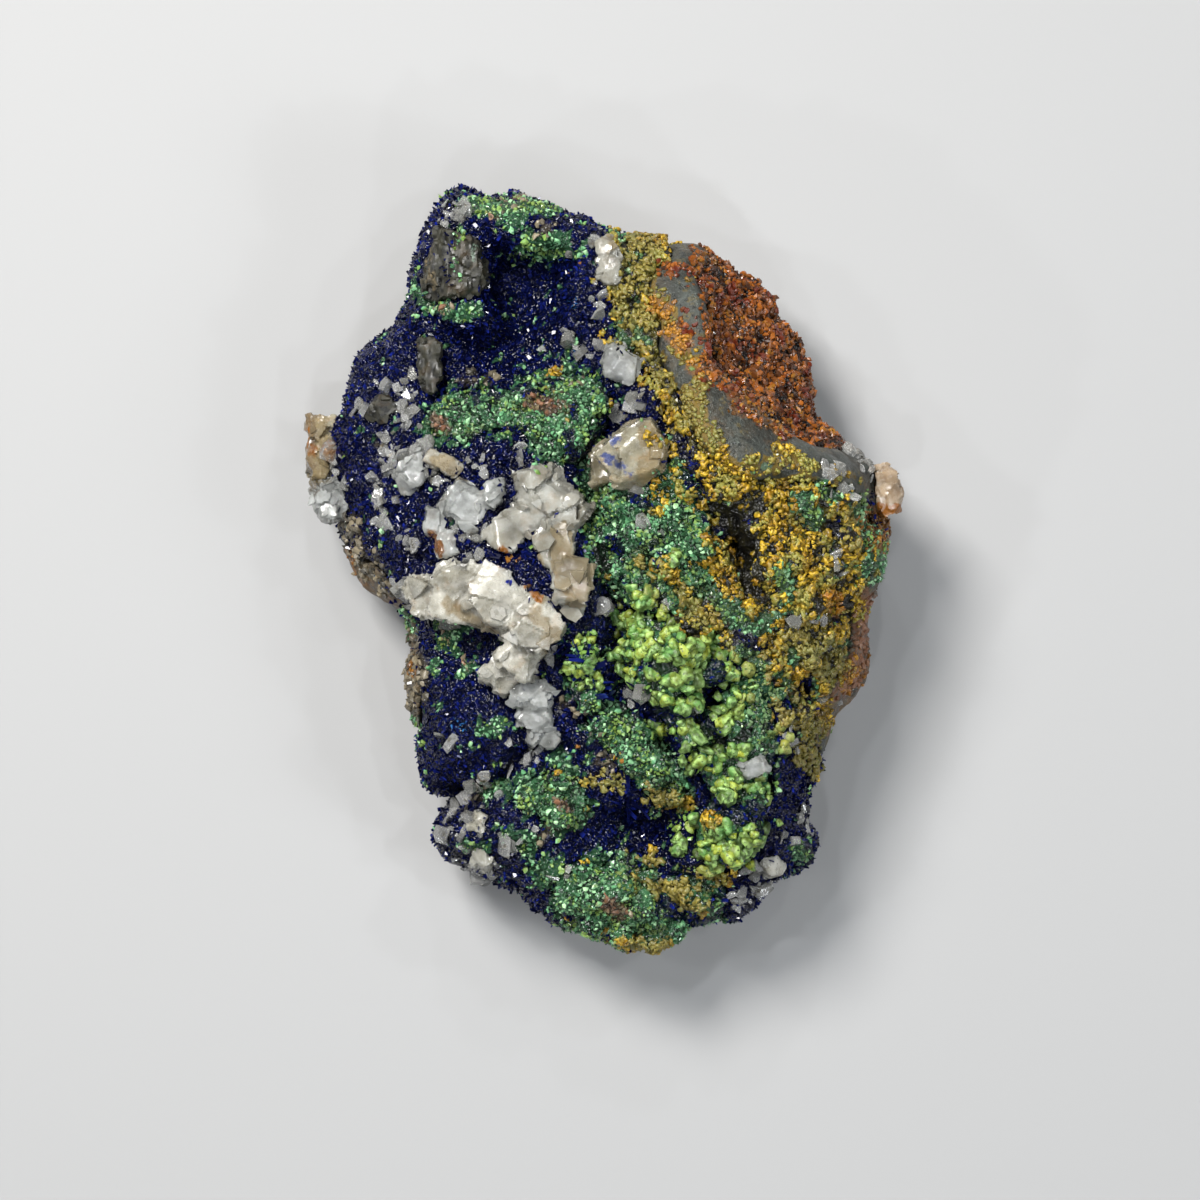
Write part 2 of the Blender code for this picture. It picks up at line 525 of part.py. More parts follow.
# ---- Small repeats fused to the crusts ----
def surface_finder(body):
    bm = bmesh.new()
    bm.from_mesh(body.data)
    tree = BVHTree.FromBMesh(bm)
    bm.free()

    def find(x, y):
        point, normal, _, _ = tree.ray_cast(Vector((x, y, TALL)) * MM, Vector((0, 0, -1)))
        return point, normal

    return find


def scattered(plan, radius, apart, margin, keep_out, taken, dice):
    """Random circles (x, y, radius) inside a plan, clear of other plans and of the circles already taken."""
    corners = np.array(plan)
    low, high = corners.min(axis=0), corners.max(axis=0)
    tries = np.array([(dice.uniform(low[0], high[0]), dice.uniform(low[1], high[1])) for _ in range(CANDIDATES)])
    x, y = tries.T
    room = np.minimum(edge_distance(x, y, plan) - margin, edge_distance(x, y, OUTLINE) - margin - 0.6)
    for other in keep_out:
        room = np.minimum(room, -edge_distance(x, y, other) - margin)
    chosen = []
    for px, py in tries[room > 0]:
        size = radius * dice.uniform(0.75, 1.25)
        if all(math.hypot(px - cx, py - cy) > size + other for cx, cy, other in taken):
            if all(math.hypot(px - cx, py - cy) > size + other + apart for cx, cy, other in chosen):
                chosen.append((px, py, size))
    taken += chosen
    return chosen


def join_shapes(name, shapes, helpers):
    """One cutter or addition from several closed shapes, each (bmesh maker, matrix)."""
    bm = bmesh.new()
    for make, matrix in shapes:
        make(bm, matrix)
    bmesh.ops.remove_doubles(bm, verts=bm.verts, dist=0.001 * MM)
    bmesh.ops.recalc_face_normals(bm, faces=bm.faces)
    return add_helper(name, mesh_from(bm, name), helpers)


def add_growths(body, find, footprints, helpers):
    """Fuses blades to the azurite and lumps to the malachite and limonite, before the lump is parted."""
    dice = random.Random(SEED)
    taken = list(footprints)
    malachite = list(MALACHITE_PLANS.values())
    shapes = []
    for plan in malachite:
        shapes += pebbles_on(find, scattered(plan, LUMP_RADIUS, 0.1, 0.5, [], taken, dice), dice)
    away = [*malachite, LIMONITE_PLAN]
    shapes += blades_on(find, scattered(AZURITE_PLAN, BLADE_RADIUS, BLADE_GAP, 0.8, away, taken, dice), dice)
    ochre = scattered(LIMONITE_PLAN, LUMP_RADIUS, LIMONITE_GAP, 1.2, malachite, taken, dice)
    shapes += pebbles_on(find, ochre, dice)
    boolean(body, join_shapes("growths", shapes, helpers), "UNION")
    return keep_largest_body(body)


def blade(bm, matrix):
    """A four-sided tapering azurite blade of unit length."""
    bmesh.ops.create_cone(bm, cap_ends=True, segments=4, radius1=0.5, radius2=0.0, depth=1.0, matrix=matrix)


def pebble(bm, matrix):
    """A round malachite or limonite lump of unit radius."""
    bmesh.ops.create_icosphere(bm, subdivisions=1, radius=1.0, matrix=matrix)


def blades_on(find, places, dice):
    shapes = []
    for x, y, reach in places:
        point, normal = find(x, y)
        lean = Vector((dice.uniform(-0.35, 0.35), dice.uniform(-0.35, 0.35), 0))
        turn = (normal + lean).to_track_quat("Z", "Y").to_matrix().to_4x4()
        length = BLADE_LENGTH * dice.uniform(0.75, 1.2)
        size = Matrix.Diagonal((reach * 1.5, reach * 0.75, length, 1 / MM)) * MM
        spin = Matrix.Rotation(dice.uniform(0, math.pi), 4, "Z")
        shapes.append((blade, Matrix.Translation(point + normal * length * 0.12 * MM) @ turn @ spin @ size))
    return shapes


def pebbles_on(find, places, dice):
    shapes = []
    for x, y, radius in places:
        point, normal = find(x, y)
        turn = normal.to_track_quat("Z", "Y").to_matrix().to_4x4()
        size = Matrix.Diagonal((radius, radius, radius * 0.9, 1 / MM)) * MM
        shapes.append((pebble, Matrix.Translation(point + normal * radius * 0.12 * MM) @ turn @ size))
    return shapes


# ---- Separate crystals ----
def cut_crystal(size, dice):
    """A blunt crystal: a box whose edges and corners are cut to flat faces."""
    bm = bmesh.new()
    bmesh.ops.create_cube(bm, size=1.0)
    bmesh.ops.scale(bm, vec=size, verts=bm.verts)
    for _ in range(CRYSTAL_CUTS):
        away = Vector((dice.uniform(-1, 1), dice.uniform(-1, 1), dice.uniform(-0.3, 1))).normalized()
        reach = max(away.dot(vert.co) for vert in bm.verts)
        cut = bmesh.ops.bisect_plane(
            bm,
            geom=[*bm.verts, *bm.edges, *bm.faces],
            plane_co=away * reach * dice.uniform(0.68, 0.84),
            plane_no=away,
            clear_outer=True,
        )
        rim = [item for item in cut["geom_cut"] if isinstance(item, bmesh.types.BMEdge)]
        bmesh.ops.edgeloop_fill(bm, edges=rim)
    bmesh.ops.dissolve_degenerate(bm, dist=0.05 * MM, edges=bm.edges)
    bmesh.ops.recalc_face_normals(bm, faces=bm.faces)
    return bm


def crystal_height(find, x, y):
    """Height of the crystal side under a crystal, or of the edge next to one that overhangs."""
    for share in (1.0, 0.97, 0.94, 0.90, 0.86, 0.82, 0.78):
        point, _ = find(x * share, y * share)
        if point:
            return point.z / MM
    raise ValueError(f"no rock near a crystal at {x}, {y}")


def make_crystal_node(name, kind, specs, find, filled, made, collection, helpers):
    dice = random.Random(f"{name} {SEED}")
    node = None
    for x, y, length, width, height, turn, lean in specs:
        bm = cut_crystal(Vector((length, width, height)) * MM, dice)
        z = crystal_height(find, x, y) + height * (0.5 - CRYSTAL_SINK)
        tilt = Euler((math.radians(lean), math.radians(-lean), math.radians(turn))).to_matrix().to_4x4()
        bmesh.ops.transform(bm, matrix=Matrix.Translation(Vector((x, y, z)) * MM) @ tilt, verts=bm.verts)
        if node is None:
            node = add_object(name, mesh_from(bm, name), collection)
        else:
            boolean(node, add_helper(name + " more", mesh_from(bm, name), helpers), "UNION")
    boolean(node, filled, "DIFFERENCE")
    for other in made:
        boolean(node, grown(other, GAP, helpers), "DIFFERENCE")
    finish(node, kind)
    made.append(node)


def finish(obj, kind):
    keep_largest_body(obj)
    obj.data.materials.clear()
    obj.data.materials.append(bpy.data.materials.get(kind) or make_material(kind))
    obj.data.polygons.foreach_set("use_smooth", [False] * len(obj.data.polygons))


def part_minerals(body, specimen, helpers):
    """Parts the lump into its crusts and the rock that carries them, a gap apart."""
    growths = {
        "azurite_crust": ("azurite", AZURITE_PLAN, AZURITE_DEPTH),
        "limonite_crust": ("limonite", LIMONITE_PLAN, LIMONITE_DEPTH),
        "goethite_crust": ("goethite", GOETHITE_PLAN, GOETHITE_DEPTH),
    }
    for name, plan in MALACHITE_PLANS.items():
        growths[name] = ("malachite", plan, MALACHITE_DEPTH)
    nodes = {"host_rock": ("host_rock", add_object("host_rock", body.data.copy(), specimen))}
    for name, (kind, plan, depth) in growths.items():
        node = add_object(name, body.data.copy(), specimen)
        boolean(node, growth_space(name, plan, depth, 0, helpers), "INTERSECT")
        seat = growth_space(name + " seat", plan, depth, GAP, helpers)
        for _, lower in nodes.values():
            boolean(lower, seat, "DIFFERENCE")
        nodes[name] = (kind, node)
    for kind, node in nodes.values():
        keep_largest_body(node)
        thin_faces(node, FACES_KEPT[kind])
        finish(node, kind)


def main():
    clear_scene()
    noise.seed_set(SEED)
    specimen = make_collection("azurite specimen")
    helpers = make_collection("cutters")
    body = make_body(helpers)
    find = surface_finder(body)
    filled = grown(body, GAP, helpers)
    crystals = []
    for name, (kind, specs) in CRYSTALS.items():
        make_crystal_node(name, kind, specs, find, filled, crystals, specimen, helpers)
    footprints = [(x, y, 0.55 * max(l, w)) for _, specs in CRYSTALS.values() for x, y, l, w, *_ in specs]
    add_growths(body, find, footprints, helpers)
    part_minerals(body, specimen, helpers)


main()
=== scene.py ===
"""Looks of the azurite specimen: fine crystal crusts, spar crystals, host rock and a plain studio."""

import json
import math

import bmesh
import bpy
import numpy as np
from bpy.props import FloatProperty, FloatVectorProperty, PointerProperty
from mathutils import Matrix, Vector, noise
from mathutils.bvhtree import BVHTree
from mathutils.kdtree import KDTree


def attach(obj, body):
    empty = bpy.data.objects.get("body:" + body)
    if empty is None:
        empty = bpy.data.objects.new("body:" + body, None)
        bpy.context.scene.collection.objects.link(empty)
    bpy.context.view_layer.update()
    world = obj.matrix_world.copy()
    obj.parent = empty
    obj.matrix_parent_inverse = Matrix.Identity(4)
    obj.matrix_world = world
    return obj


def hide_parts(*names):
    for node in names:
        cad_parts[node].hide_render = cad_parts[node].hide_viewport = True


bl_info = {
    "name": "Azurite Specimen",
    "version": (1, 0, 0),
    "blender": (4, 5, 0),
    "location": "3D View > Sidebar > Specimen",
    "description": "Dresses the solids of an azurite specimen with druse, grains, spar and host rock",
    "category": "Object",
}

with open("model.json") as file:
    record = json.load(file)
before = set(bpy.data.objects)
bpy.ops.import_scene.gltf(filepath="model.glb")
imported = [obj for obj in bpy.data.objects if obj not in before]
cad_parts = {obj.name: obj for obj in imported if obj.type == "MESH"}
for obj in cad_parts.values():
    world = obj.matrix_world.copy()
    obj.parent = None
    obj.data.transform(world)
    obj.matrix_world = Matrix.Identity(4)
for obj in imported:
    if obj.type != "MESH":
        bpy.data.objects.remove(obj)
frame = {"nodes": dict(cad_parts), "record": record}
MM = 0.001
SEED = 11
MALACHITE_NODES = (
    "malachite_band",
    "malachite_stripe",
    "malachite_strand",
    "malachite_buttons",
    "malachite_foot",
    "malachite_knot",
)

# ---- Where each mineral shows, seen from above: strokes of (radius, strength, points), in mm ----
STROKES = {
    "green": (
        (1.4, 1, -15.6, 42.7, -11.7, 42.1, -9.9, 40.7), (1.2, 1, -9.3, 42.6, -5.6, 42.6),
        (1.4, 1, -8.2, 37.9, -4.4, 37.9), (0.7, 0.7, -2.6, 36.7, -0.9, 38.8),
        (1, 1, -21.9, 33.1, -19.6, 31.1, -17.3, 29.8, -14.2, 30.2),
        (2, 1, -19.1, 16.9, -15.2, 17.8, -10.3, 18.8, -5.1, 18.1), (1.7, 1, -7, 16.2, -5.1, 13.4, -6.3, 11.3),
        (1.5, 1, -3, 20.9, -0.9, 19.7, -1.4, 16.7), (1, 0.9, -4, 23.2, -2.3, 22.7), (1.2, 1, -1.4, 12.2, -1.2, 9.4),
        (1, 1, -19.8, 15.3, -18.7, 15.7), (0.8, 0.7, -9.3, 21.8, -6.4, 22.3), (0.8, 0.7, -11.7, 15.3, -10, 15.5),
        (2, 1, 0.5, 8, 2.8, 5.7, 6.1, 4.5, 9.8, 3.6, 11.7, -1.5), (1.7, 1, 4.4, 1.7, 4.7, -2.4),
        (1.5, 1, 14, -3.6, 16.3, -5.9, 18.4, -6.4), (1.4, 1, 17, -9.2, 18.3, -13.2, 18.7, -15.5),
        (1.5, 0.9, 17.5, -17.6, 18.9, -19.9, 20.5, -22.3), (0.9, 0.7, 7.9, -6.2, 8.9, -7.3),
        (1.1, 1.2, 20.4, 0.2, 21.8, -1.4, 21.8, -4.6), (0.8, 0.9, 22.2, -9.8, 21.5, -10.6),
        (1.4, 1, 23.3, 8.3, 24.7, 5.7), (1.2, 0.8, 25.1, 9.7, 26.8, 8.5), (1.6, 0.9, 30.3, 7.1, 31.2, 3.6, 31.2, 0.3),
        (1.2, 0.9, 33.6, 3, 33.1, -0.1), (0.9, 0.9, 28.9, -8.7, 29.8, -8), (0.8, 0.8, 15.4, 6.6, 17, 4.8),
        (1, 0.8, 4.7, 16.4, 7.5, 14.8), (1.9, 1, 0.5, -15.3, 2.8, -17.8, 5.1, -20.2, 7.5, -23, 9.8, -25.8),
        (1.6, 0.9, 8.9, -22.7, 10.5, -24.4), (1.2, 1, -4.7, -22, -3, -23.9),
        (2.1, 1, -8.2, -25.3, -5.6, -26.7, -2.6, -27.4, -4.7, -28.8), (0.9, 1, -13.1, -25.8, -11, -25.3),
        (2, 1, -6.1, -35.1, -1.9, -36.7, 0.7, -37.2, 4.2, -37.9), (1, 1, -1.2, -33.2, -0.5, -35.1),
        (1.7, 1, -1.2, -39.8, 1.4, -41.4, 4.9, -41.2, 8.9, -42.8), (1, 1, -4.4, -38.8, -3.3, -37.9),
        (1, 0.9, -18.9, -5.7, -16.1, -6.9), (0.7, 0.8, -18.2, -8, -16.6, -9.4),
        (0.8, 0.8, -15.9, -11.3, -14.5, -11.3), (0.6, 0.8, -19.4, -10.6, -19, -12),
        (0.9, 0.9, -22.9, -5.2, -22.4, -6.9), (0.6, 0.8, -21.7, -17.6, -21.2, -20.2),
        (0.8, 1, -14.2, -18.3, -11.2, -18.3), (1, 0.7, -15.6, -32.1, -13.8, -32.5),
        (1.5, 0.7, -10.3, -30.9, -8.6, -32.1), (0.5, 0.7, -26.4, 27.4, -25.7, 27.2),
        (0.9, 0.9, 23.1, -32.5, 24, -33.5), (1.2, 1, 11.2, -37, 12.1, -37.9), (0.7, 1, 18.2, -26.7, 19.4, -27.4),
        (0.7, 0.8, 20.5, -25.1, 21.5, -25.5), (0.9, 0.6, 9.6, 13.4, 10.3, 10.4), (1, 0.7, 22.2, -15, 20.5, -13.9),
        (0.8, 0.7, 1.4, 39.8, 2.3, 38.6), (0.9, 0.7, 28, 9.4, 29.1, 8.3), (0.8, 0.7, 3.5, 36, 3, 34.4),
        (0.9, 0.7, 15.7, 1.3, 15.2, -2.9), (0.7, 0.6, 24.7, -19.1, 24, -20.3), (0.8, 0.6, -3.5, 26.9, -2.9, 25.5),
        (0.7, 0.5, -7, 25.8, -5.1, 25.1), (1, 1, 5.6, 34.6, 4.6, 33.2), (0.9, 1, 2, 29, 3.4, 24.8),
        (0.8, 0.9, 6, 26.8, 5, 24), (0.5, 0.8, 15.2, 11.6, 22, 12.2),
        (0.35, 2.6, -16.3, 39.2, -16.6, 36, -16.2, 33.4), (0.8, 1, 20.4, -11.6, 21.8, -13),
        (0.8, 0.9, 25, -13.2, 25.8, -15), (0.7, 1.2, 4.2, 31.8, 5, 30.4), (0.6, 1.2, 3.2, 36.9, 5.4, 36.6),
        (0.7, 1.2, 4.4, 28, 5.2, 26.4),
    ),
    "lime": (
        (1.4, 1, 2.8, -5.5, 4.7, -6.9, 7, -5.7), (1.6, 1, 3.7, -9.2, 6.1, -8.3, 9.6, -9.4),
        (1.6, 1, 4.7, -12.7, 7.2, -13.9, 9.6, -13.9), (1.5, 1, 10, -11.8, 12.1, -9.9), (1, 1, 11.7, -8, 13.5, -8),
        (1.2, 1, 15.2, -10.4, 16.3, -12.7, 17.3, -15.3), (0.9, 1, 11.2, -15.3, 12.1, -16.4),
        (1.3, 1, 13.8, -17.6, 15.9, -17.6), (0.9, 1, 13.3, -15, 14.2, -15.5),
        (1.4, 1, 9.3, -17.6, 10.5, -19.7, 12.4, -20.4), (1.5, 1, 14.2, -21.6, 15.4, -20.6),
        (0.8, 1, 11.7, -23, 13.3, -24.4), (1.5, 1, 14.5, -25.3, 15.9, -25.8, 18.9, -24.8),
        (1.9, 1, 10.3, -30, 13.1, -31.6, 16.6, -31.6), (0.8, 1, 18.9, -29.7, 20.1, -30),
        (1.3, 1, 12.4, -33.7, 13.5, -34.4), (0.9, 1, 5.8, -16.9, 5.9, -19.7), (1, 1, -1.9, -7.8, -1.2, -9.4),
        (1.2, 1, -3.3, -11.1, -0.7, -13.2), (0.9, 0.8, 4.7, -22, 5.8, -21.6), (1, 0.9, 3.3, -2.9, 6.1, -3.4),
        (0.9, 1, 6.5, -15, 7.9, -16), (0.7, 0.8, 0, -13.9, 0.7, -13.4), (0.9, 0.8, 8.4, 1.3, 7.5, -0.3),
        (1.2, 1, 10.6, -22, 12.6, -22.4, 14.4, -23.6), (1.4, 1, 9.6, -32.2, 11.6, -34.2),
        (1.2, 1, 17.4, -25.4, 19.6, -26),
    ),
    "ochre": (
        (1.2, 1, 6.5, 8.3, 7.7, 9.7, 8.9, 10.6), (0.7, 1, 5.8, 6.6, 6.5, 6.2),
        (1.2, 1, 9.8, -2.2, 10.7, -3.8, 11.9, -5.7), (0.9, 1, 7.5, 1, 8.9, -1.3),
        (1.3, 1, 11.7, 0.6, 14, -0.1, 14.9, -2.4), (1.3, 1, 13.3, 14.3, 14, 10.8, 14.7, 8.7),
        (1.2, 1, 16.3, 8.7, 21, 9.4, 23.6, 10.1), (1.5, 1, 18.9, 7.8, 19.4, 4.8, 20.1, 1),
        (2, 1, 23.3, 2.7, 24.7, 1, 23.6, -1.5), (1.3, 1, 21.9, -3.1, 22.9, -3.8), (1, 1, 19.1, -2, 19.8, -3.6),
        (1, 1, 26.8, -2.7, 27.3, -4.5), (1.2, 1, 29.1, 3.6, 30.3, 2.2), (0.8, 1, 13.3, -5, 14.2, -6.4),
        (1.3, 1, 20.5, -8, 22.6, -8), (1.7, 1, 26.6, -10.4, 28.2, -11.8), (1, 1, 24, -8, 25.2, -9.2),
        (1, 1, 19.8, -15.7, 22.4, -17.6), (1.3, 1, 26.1, -16.9, 24.7, -19.7), (1.2, 1, 23.3, -21.6, 25.2, -23),
        (1.4, 1, 4.4, 38.1, 7, 37.4), (1, 1, 2.6, 37, 3.7, 36), (1, 1, 3.3, 32.8, 4.9, 32.1),
        (1.3, 1, 6.1, 30.7, 7.5, 29.7), (1.2, 1, 2.1, 31.6, 3, 30.2), (1, 1, 3.3, 28.3, 4.7, 26.2),
        (0.8, 1, 0.7, 26.5, 1.9, 26.2), (1.2, 1, 7.9, 27.2, 9.8, 26.5), (1.3, 1, 7, 23.7, 6.3, 21.3),
        (1.5, 1, 9.1, 19, 10.7, 16.2), (1.2, 1, 7, 19.9, 8.4, 17.6), (1.2, 1, 10.3, 23.7, 12.4, 22),
        (0.8, 0.9, 11.7, 19.7, 12.6, 20.6), (1.2, 1, 5.6, 16.4, 6.5, 14.6), (1.2, 1, 8.9, 25.8, 10.5, 24.4),
        (0.7, 0.8, 9.8, 29.7, 10.5, 28.3), (1, 0.9, 20.5, 13.9, 21.9, 13.2), (0.9, 0.8, 10.5, 8.3, 11.7, 6.9),
        (1, 1, 4.7, -36, 6.5, -37.2), (0.7, 1, 5.6, -33.5, 6.3, -33.9), (1.3, 1, 8.4, -37.4, 10.7, -39.1),
        (1.2, 1, 10.3, -35.8, 13.1, -36.7, 15.4, -36), (1.2, 1, 3, -43.5, 6.1, -44.2, 7.5, -43),
        (0.9, 1, -1.4, -24.4, 1.2, -23.8, 2.6, -24.6), (0.7, 1, -3, -24.1, -2.1, -24.8),
        (1, 1, 6.5, -26, 10.7, -26.9), (0.8, 0.8, -3.3, -36.5, -2.1, -36.7), (0.6, 0.9, -7.2, -34.6, -6.5, -34.6),
        (0.8, 0.9, 11.4, -39.5, 12.4, -40.2), (0.9, 0.8, 12.8, -28.8, 14.2, -28.1), (1, 1, 23.3, -11.8, 24, -10.8),
        (1.4, 1, 15.9, 0.6, 17.7, -2.2), (0.8, 0.7, -4.7, 22.7, -3.5, 23.2), (1, 1, 4.7, 1.3, 5.8, 0.1),
        (0.9, 0.8, 11.7, 15.7, 10.5, 14.3), (0.9, 0.9, 7.9, 34.4, 11.7, 33.9), (0.9, 0.8, 30.5, -3.4, 30.1, -5.7),
        (0.8, 0.8, 14.5, 12, 20, 12.4, 25.5, 11.6, 29.5, 10.8), (0.9, 1, 5.8, 34.6, 6.6, 31.4, 8, 28.8),
        (1.1, 1, 6.4, 25.2, 7.2, 22.4, 9.6, 20.6), (1, 1, 10.4, 18.8, 12.4, 15.6),
        (0.8, 1, 11.2, 25.6, 11.6, 21.4, 13.6, 18.6), (1.2, 1.7, 5.4, 34.4, 5.2, 31, 5.6, 28.6),
        (1, 1.2, 4.8, 30.8, 7, 29.8), (1.1, 1.5, 5.6, 25, 6.2, 21.4, 8.2, 18.4),
    ),
    "blue": (
        (1, 1, 0.7, 17.1, -0.9, 14.1), (1, 1, 9.3, 14.8, 10.5, 12.7, 9.8, 10.1), (1.2, 1, 16.1, -7.6, 17.7, -8.7),
        (0.9, 1, 24, -12.2, 24, -15.5), (0.8, 0.9, 21.7, -5.5, 22.6, -6.2), (0.7, 0.8, 21.5, -1, 21.9, -3.1),
        (0.8, 0.9, 1.4, 3.6, 2.3, 2.4), (0.9, 0.9, 5.4, 2.2, 6.5, 1.3), (0.8, 0.9, 4.2, 8.5, 5.6, 7.6),
        (0.9, 1, 4.2, -15.3, 5.4, -16), (0.8, 0.9, 11.7, -16.9, 14.2, -19.7), (1, 1, 8.9, -18.5, 8.9, -22.5),
        (0.9, 1, 11.7, -26.9, 14.5, -27.4), (1, 1, 16.8, -33.5, 14.2, -34.6), (0.8, 1, 14.2, -37.4, 12.1, -38.6),
        (1.2, 1, 10, -40.2, 11.7, -41.2), (1.3, 1, 15.9, -38.6, 17.7, -36.3),
        (1.4, 1, 20.1, -22, 22.4, -23.7, 22.4, -27.2), (0.8, 0.8, 26.4, 5.9, 27.5, 4.5),
        (0.7, 0.9, 31.5, 8.3, 32.2, 5.7), (0.7, 0.8, 33.1, 4.3, 34, 3.8), (1, 0.9, 16.6, 5.9, 14, 4.5),
        (0.9, 0.8, -0.5, -3.4, 0, -5.7), (1.2, 1, 7.5, -38.6, 8.9, -40), (0.9, 0.9, 1.2, 19.9, 3.7, 21.1),
        (0.9, 0.9, 3.7, 19.5, 4.7, 20.9), (1.2, 0.8, -11.7, 21.8, -7, 20.6), (0.9, 0.8, -3.3, 15.3, -3, 11.8),
        (0.8, 0.8, 11.7, 10.1, 12.1, 8.3), (0.9, 0.8, 7, -15, 8.6, -16), (0.8, 0.8, 7.2, -4.8, 7.9, -8),
        (1, 0.9, -4.7, -15, -2.3, -16.9), (1, 0.9, 23.3, -30.9, 24.7, -29.7), (0.7, 1, 1.6, 27.8, 2.4, 25),
        (0.7, 1.1, -14.6, 19.9, -12, 18.9), (0.6, 1.1, -9.6, 16.4, -8.2, 14.4), (0.5, 1.1, -3.4, 18.9, -2.6, 17.4),
        (0.55, 2.6, -17.4, 39.4, -17.8, 36.6, -17.5, 33.6),
        (0.8, 1.4, 2.2, -14.8, 6.2, -16.7, 8.4, -16.5, 11.8, -17.2, 14, -18.6), (1, 1.4, 13.2, -10.4, 13, -15.2),
        (1.1, 1.4, 11, -23.8, 12.6, -27.2, 16.6, -28.2, 20.4, -27.8),
    ),
    "bare": (
        (0.8, 1.4, 8.4, 37.4, 10.6, 37.2), (0.9, 1.6, 6.9, 33.4, 9.2, 32.8, 10.4, 31.6),
        (0.9, 1.6, 10, 31.4, 10.3, 29.4), (1.1, 1.6, 6, 27.6, 6.9, 25.9), (1, 1.6, 8.2, 23.9, 9.2, 22.2),
        (0.6, 1.4, 10.6, 28.4, 10.7, 25), (1.4, 1.6, 13.2, 19.2, 15.8, 17, 19, 15.4),
        (0.8, 1.5, 21.5, 14.7, 25.5, 13.7, 29.5, 12.4),
    ),
    "rust": (
        (1, 1.2, 6.4, 34.9, 9, 34.6, 12, 35.2), (1.3, 1.3, 11.8, 37, 12.4, 33.4),
        (1.1, 1.5, 11.6, 35.6, 12, 31, 12.2, 26.6, 13.2, 22.4), (0.9, 1.1, 9.6, 29.6, 10.2, 26.4),
        (0.8, 1.1, 11.2, 25, 12.6, 20.8), (0.9, 1.2, 14.4, 20.6, 17.6, 17.2, 21.6, 15.4),
    ),
    # painted shade: dark pits and gaps between the minerals, where no grains grow and the bed is painted near black
    "dark": (
        (1.7, 1.3, 15.4, 5.6, 16.6, 2.4, 17.5, -1.5), (0.9, 1.2, 12.6, 7.3, 14.6, 6.6),
        (0.9, 1.1, 17.7, 7.8, 18.4, 6.9), (1, 1.2, 28.7, -3.8, 29.4, -5.5, 30.1, -7.6), (1, 1, 0.2, -1.5, -0.9, -3.8),
        (0.6, 1, 7, -9, 7.5, -10.6), (0.5, 1.1, 12.3, -13.2, 12.6, -14.9), (0.8, 1.1, 23.3, -14.1, 24, -15.5),
        (0.7, 1, 24.3, -7.6, 25, -9), (0.8, 1.1, 10.5, -15.5, 11.7, -18.5, 14.5, -19.9), (0.7, 1, 0, 2.9, 0.5, 0.6),
        (0.7, 1, 5.8, -1.7, 7, -3.4), (0.7, 1, 15.2, -20.2, 16.8, -18.5), (0.7, 0.9, 15.9, -1.7, 14.9, -2.4),
        (0.7, 1, 4.7, 36.7, 6.1, 36), (0.8, 0.9, 0.5, 29.3, 2.1, 26.9), (0.7, 0.9, 11.7, -2.2, 12.6, -3.6),
        (0.7, 1, 2.3, -3.8, 1.6, -5.2), (0.6, 1, 8.4, -5.2, 10.5, -7.1), (0.6, 1, 4, -1, 4.7, -2.2),
        (0.6, 1, 4.8, 31, 6, 28.6), (0.6, 1, 2.8, 34.6, 4.2, 33.6), (0.5, 1, 8.6, 36.4, 10.6, 35),
        (1, 1.4, 7.4, -10.6, 7.9, -11.8), (0.7, 1.2, 16.6, -20.2, 17.3, -18), (0.5, 1, 21.2, -3, 22.4, -6.8),
        (0.5, 1, 24.2, -2.4, 25.4, -4.2), (0.6, 1.2, 5, 33.4, 5.6, 32.2), (0.5, 1.2, 6.4, 37.6, 8, 36.8),
        (0.6, 1.2, 2.4, 33.4, 3.6, 31.4),
    ),
    "rosy": (
        (1, 0.9, 0.9, -39.1, 2.6, -40.2), (0.7, 0.8, -4.7, -27.1, -3.7, -27.4), (1, 0.8, -19.1, 17.1, -18, 16.9),
        (0.7, 0.7, -12.8, 41.4, -11.7, 40.5), (0.7, 0.7, -18.2, -6.6, -17.7, -8),
        (0.6, 0.6, -15.6, -10.8, -15.2, -11.3), (0.8, 0.6, -18.7, 30.4, -17.5, 30), (0.8, 0.6, -5.1, 19.5, -4, 18.8),
        (1.4, 0.9, 31, -3.4, 30.8, -8, 30.1, -12.2), (1.2, 0.9, 29.4, -13.2, 27.8, -14.3),
        (0.8, 0.6, -9.3, 43.5, -8.9, 43), (0.7, 0.6, -13.5, -11.3, -14.5, -10.4), (1, 0.9, -7.8, 19.6, -5.8, 18.9),
    ),
    "bristle": (
        (1.3, 1, -4.8, -8, -2.6, -10.4), (1.1, 1, -9.8, 3.6, -7.4, 2.8), (1, 0.8, -1.8, -12, 0.4, -14.4),
        (0.9, 0.8, -13, 1.2, -11.4, 0.8), (0.9, 0.7, 2, -25, 4, -28),
    ),
    "tan": (
        (0.9, 0.5, -20.2, 37.6, -19.6, 33.4), (1.5, 1, -4.4, 4, -4.1, 0.2, -2.8, -2.9),
        (1.4, 0.9, -1.7, 0.6, -2, -2.6), (0.9, 0.8, -7.6, -1.4, -6.6, -3.4), (1, 0.9, -14.8, -5.6, -12.6, -7.6),
        (1.3, 0.9, -5.6, -8, -5.4, -10.4), (1.2, 0.8, -18.6, 12.8, -16, 11),
        (1.6, 0.9, 5.6, 11.4, 7, 13.4, 5.8, 15.2), (1.6, 0.8, -33.6, 18, -33, 11.6), (1.1, 0.7, 1.4, 41.2, 1.6, 37.4),
        (0.9, 0.8, -8.9, 2.4, -7.4, 1.4), (1, 0.7, -7.6, -4.8, -5.2, -7.2), (1, 0.6, -17.4, -4, -15.8, -5.2),
    ),
    "vein": (
        (0.25, 0.7, -15, 38, -14.4, 36.2),
    ),
    "azure": (
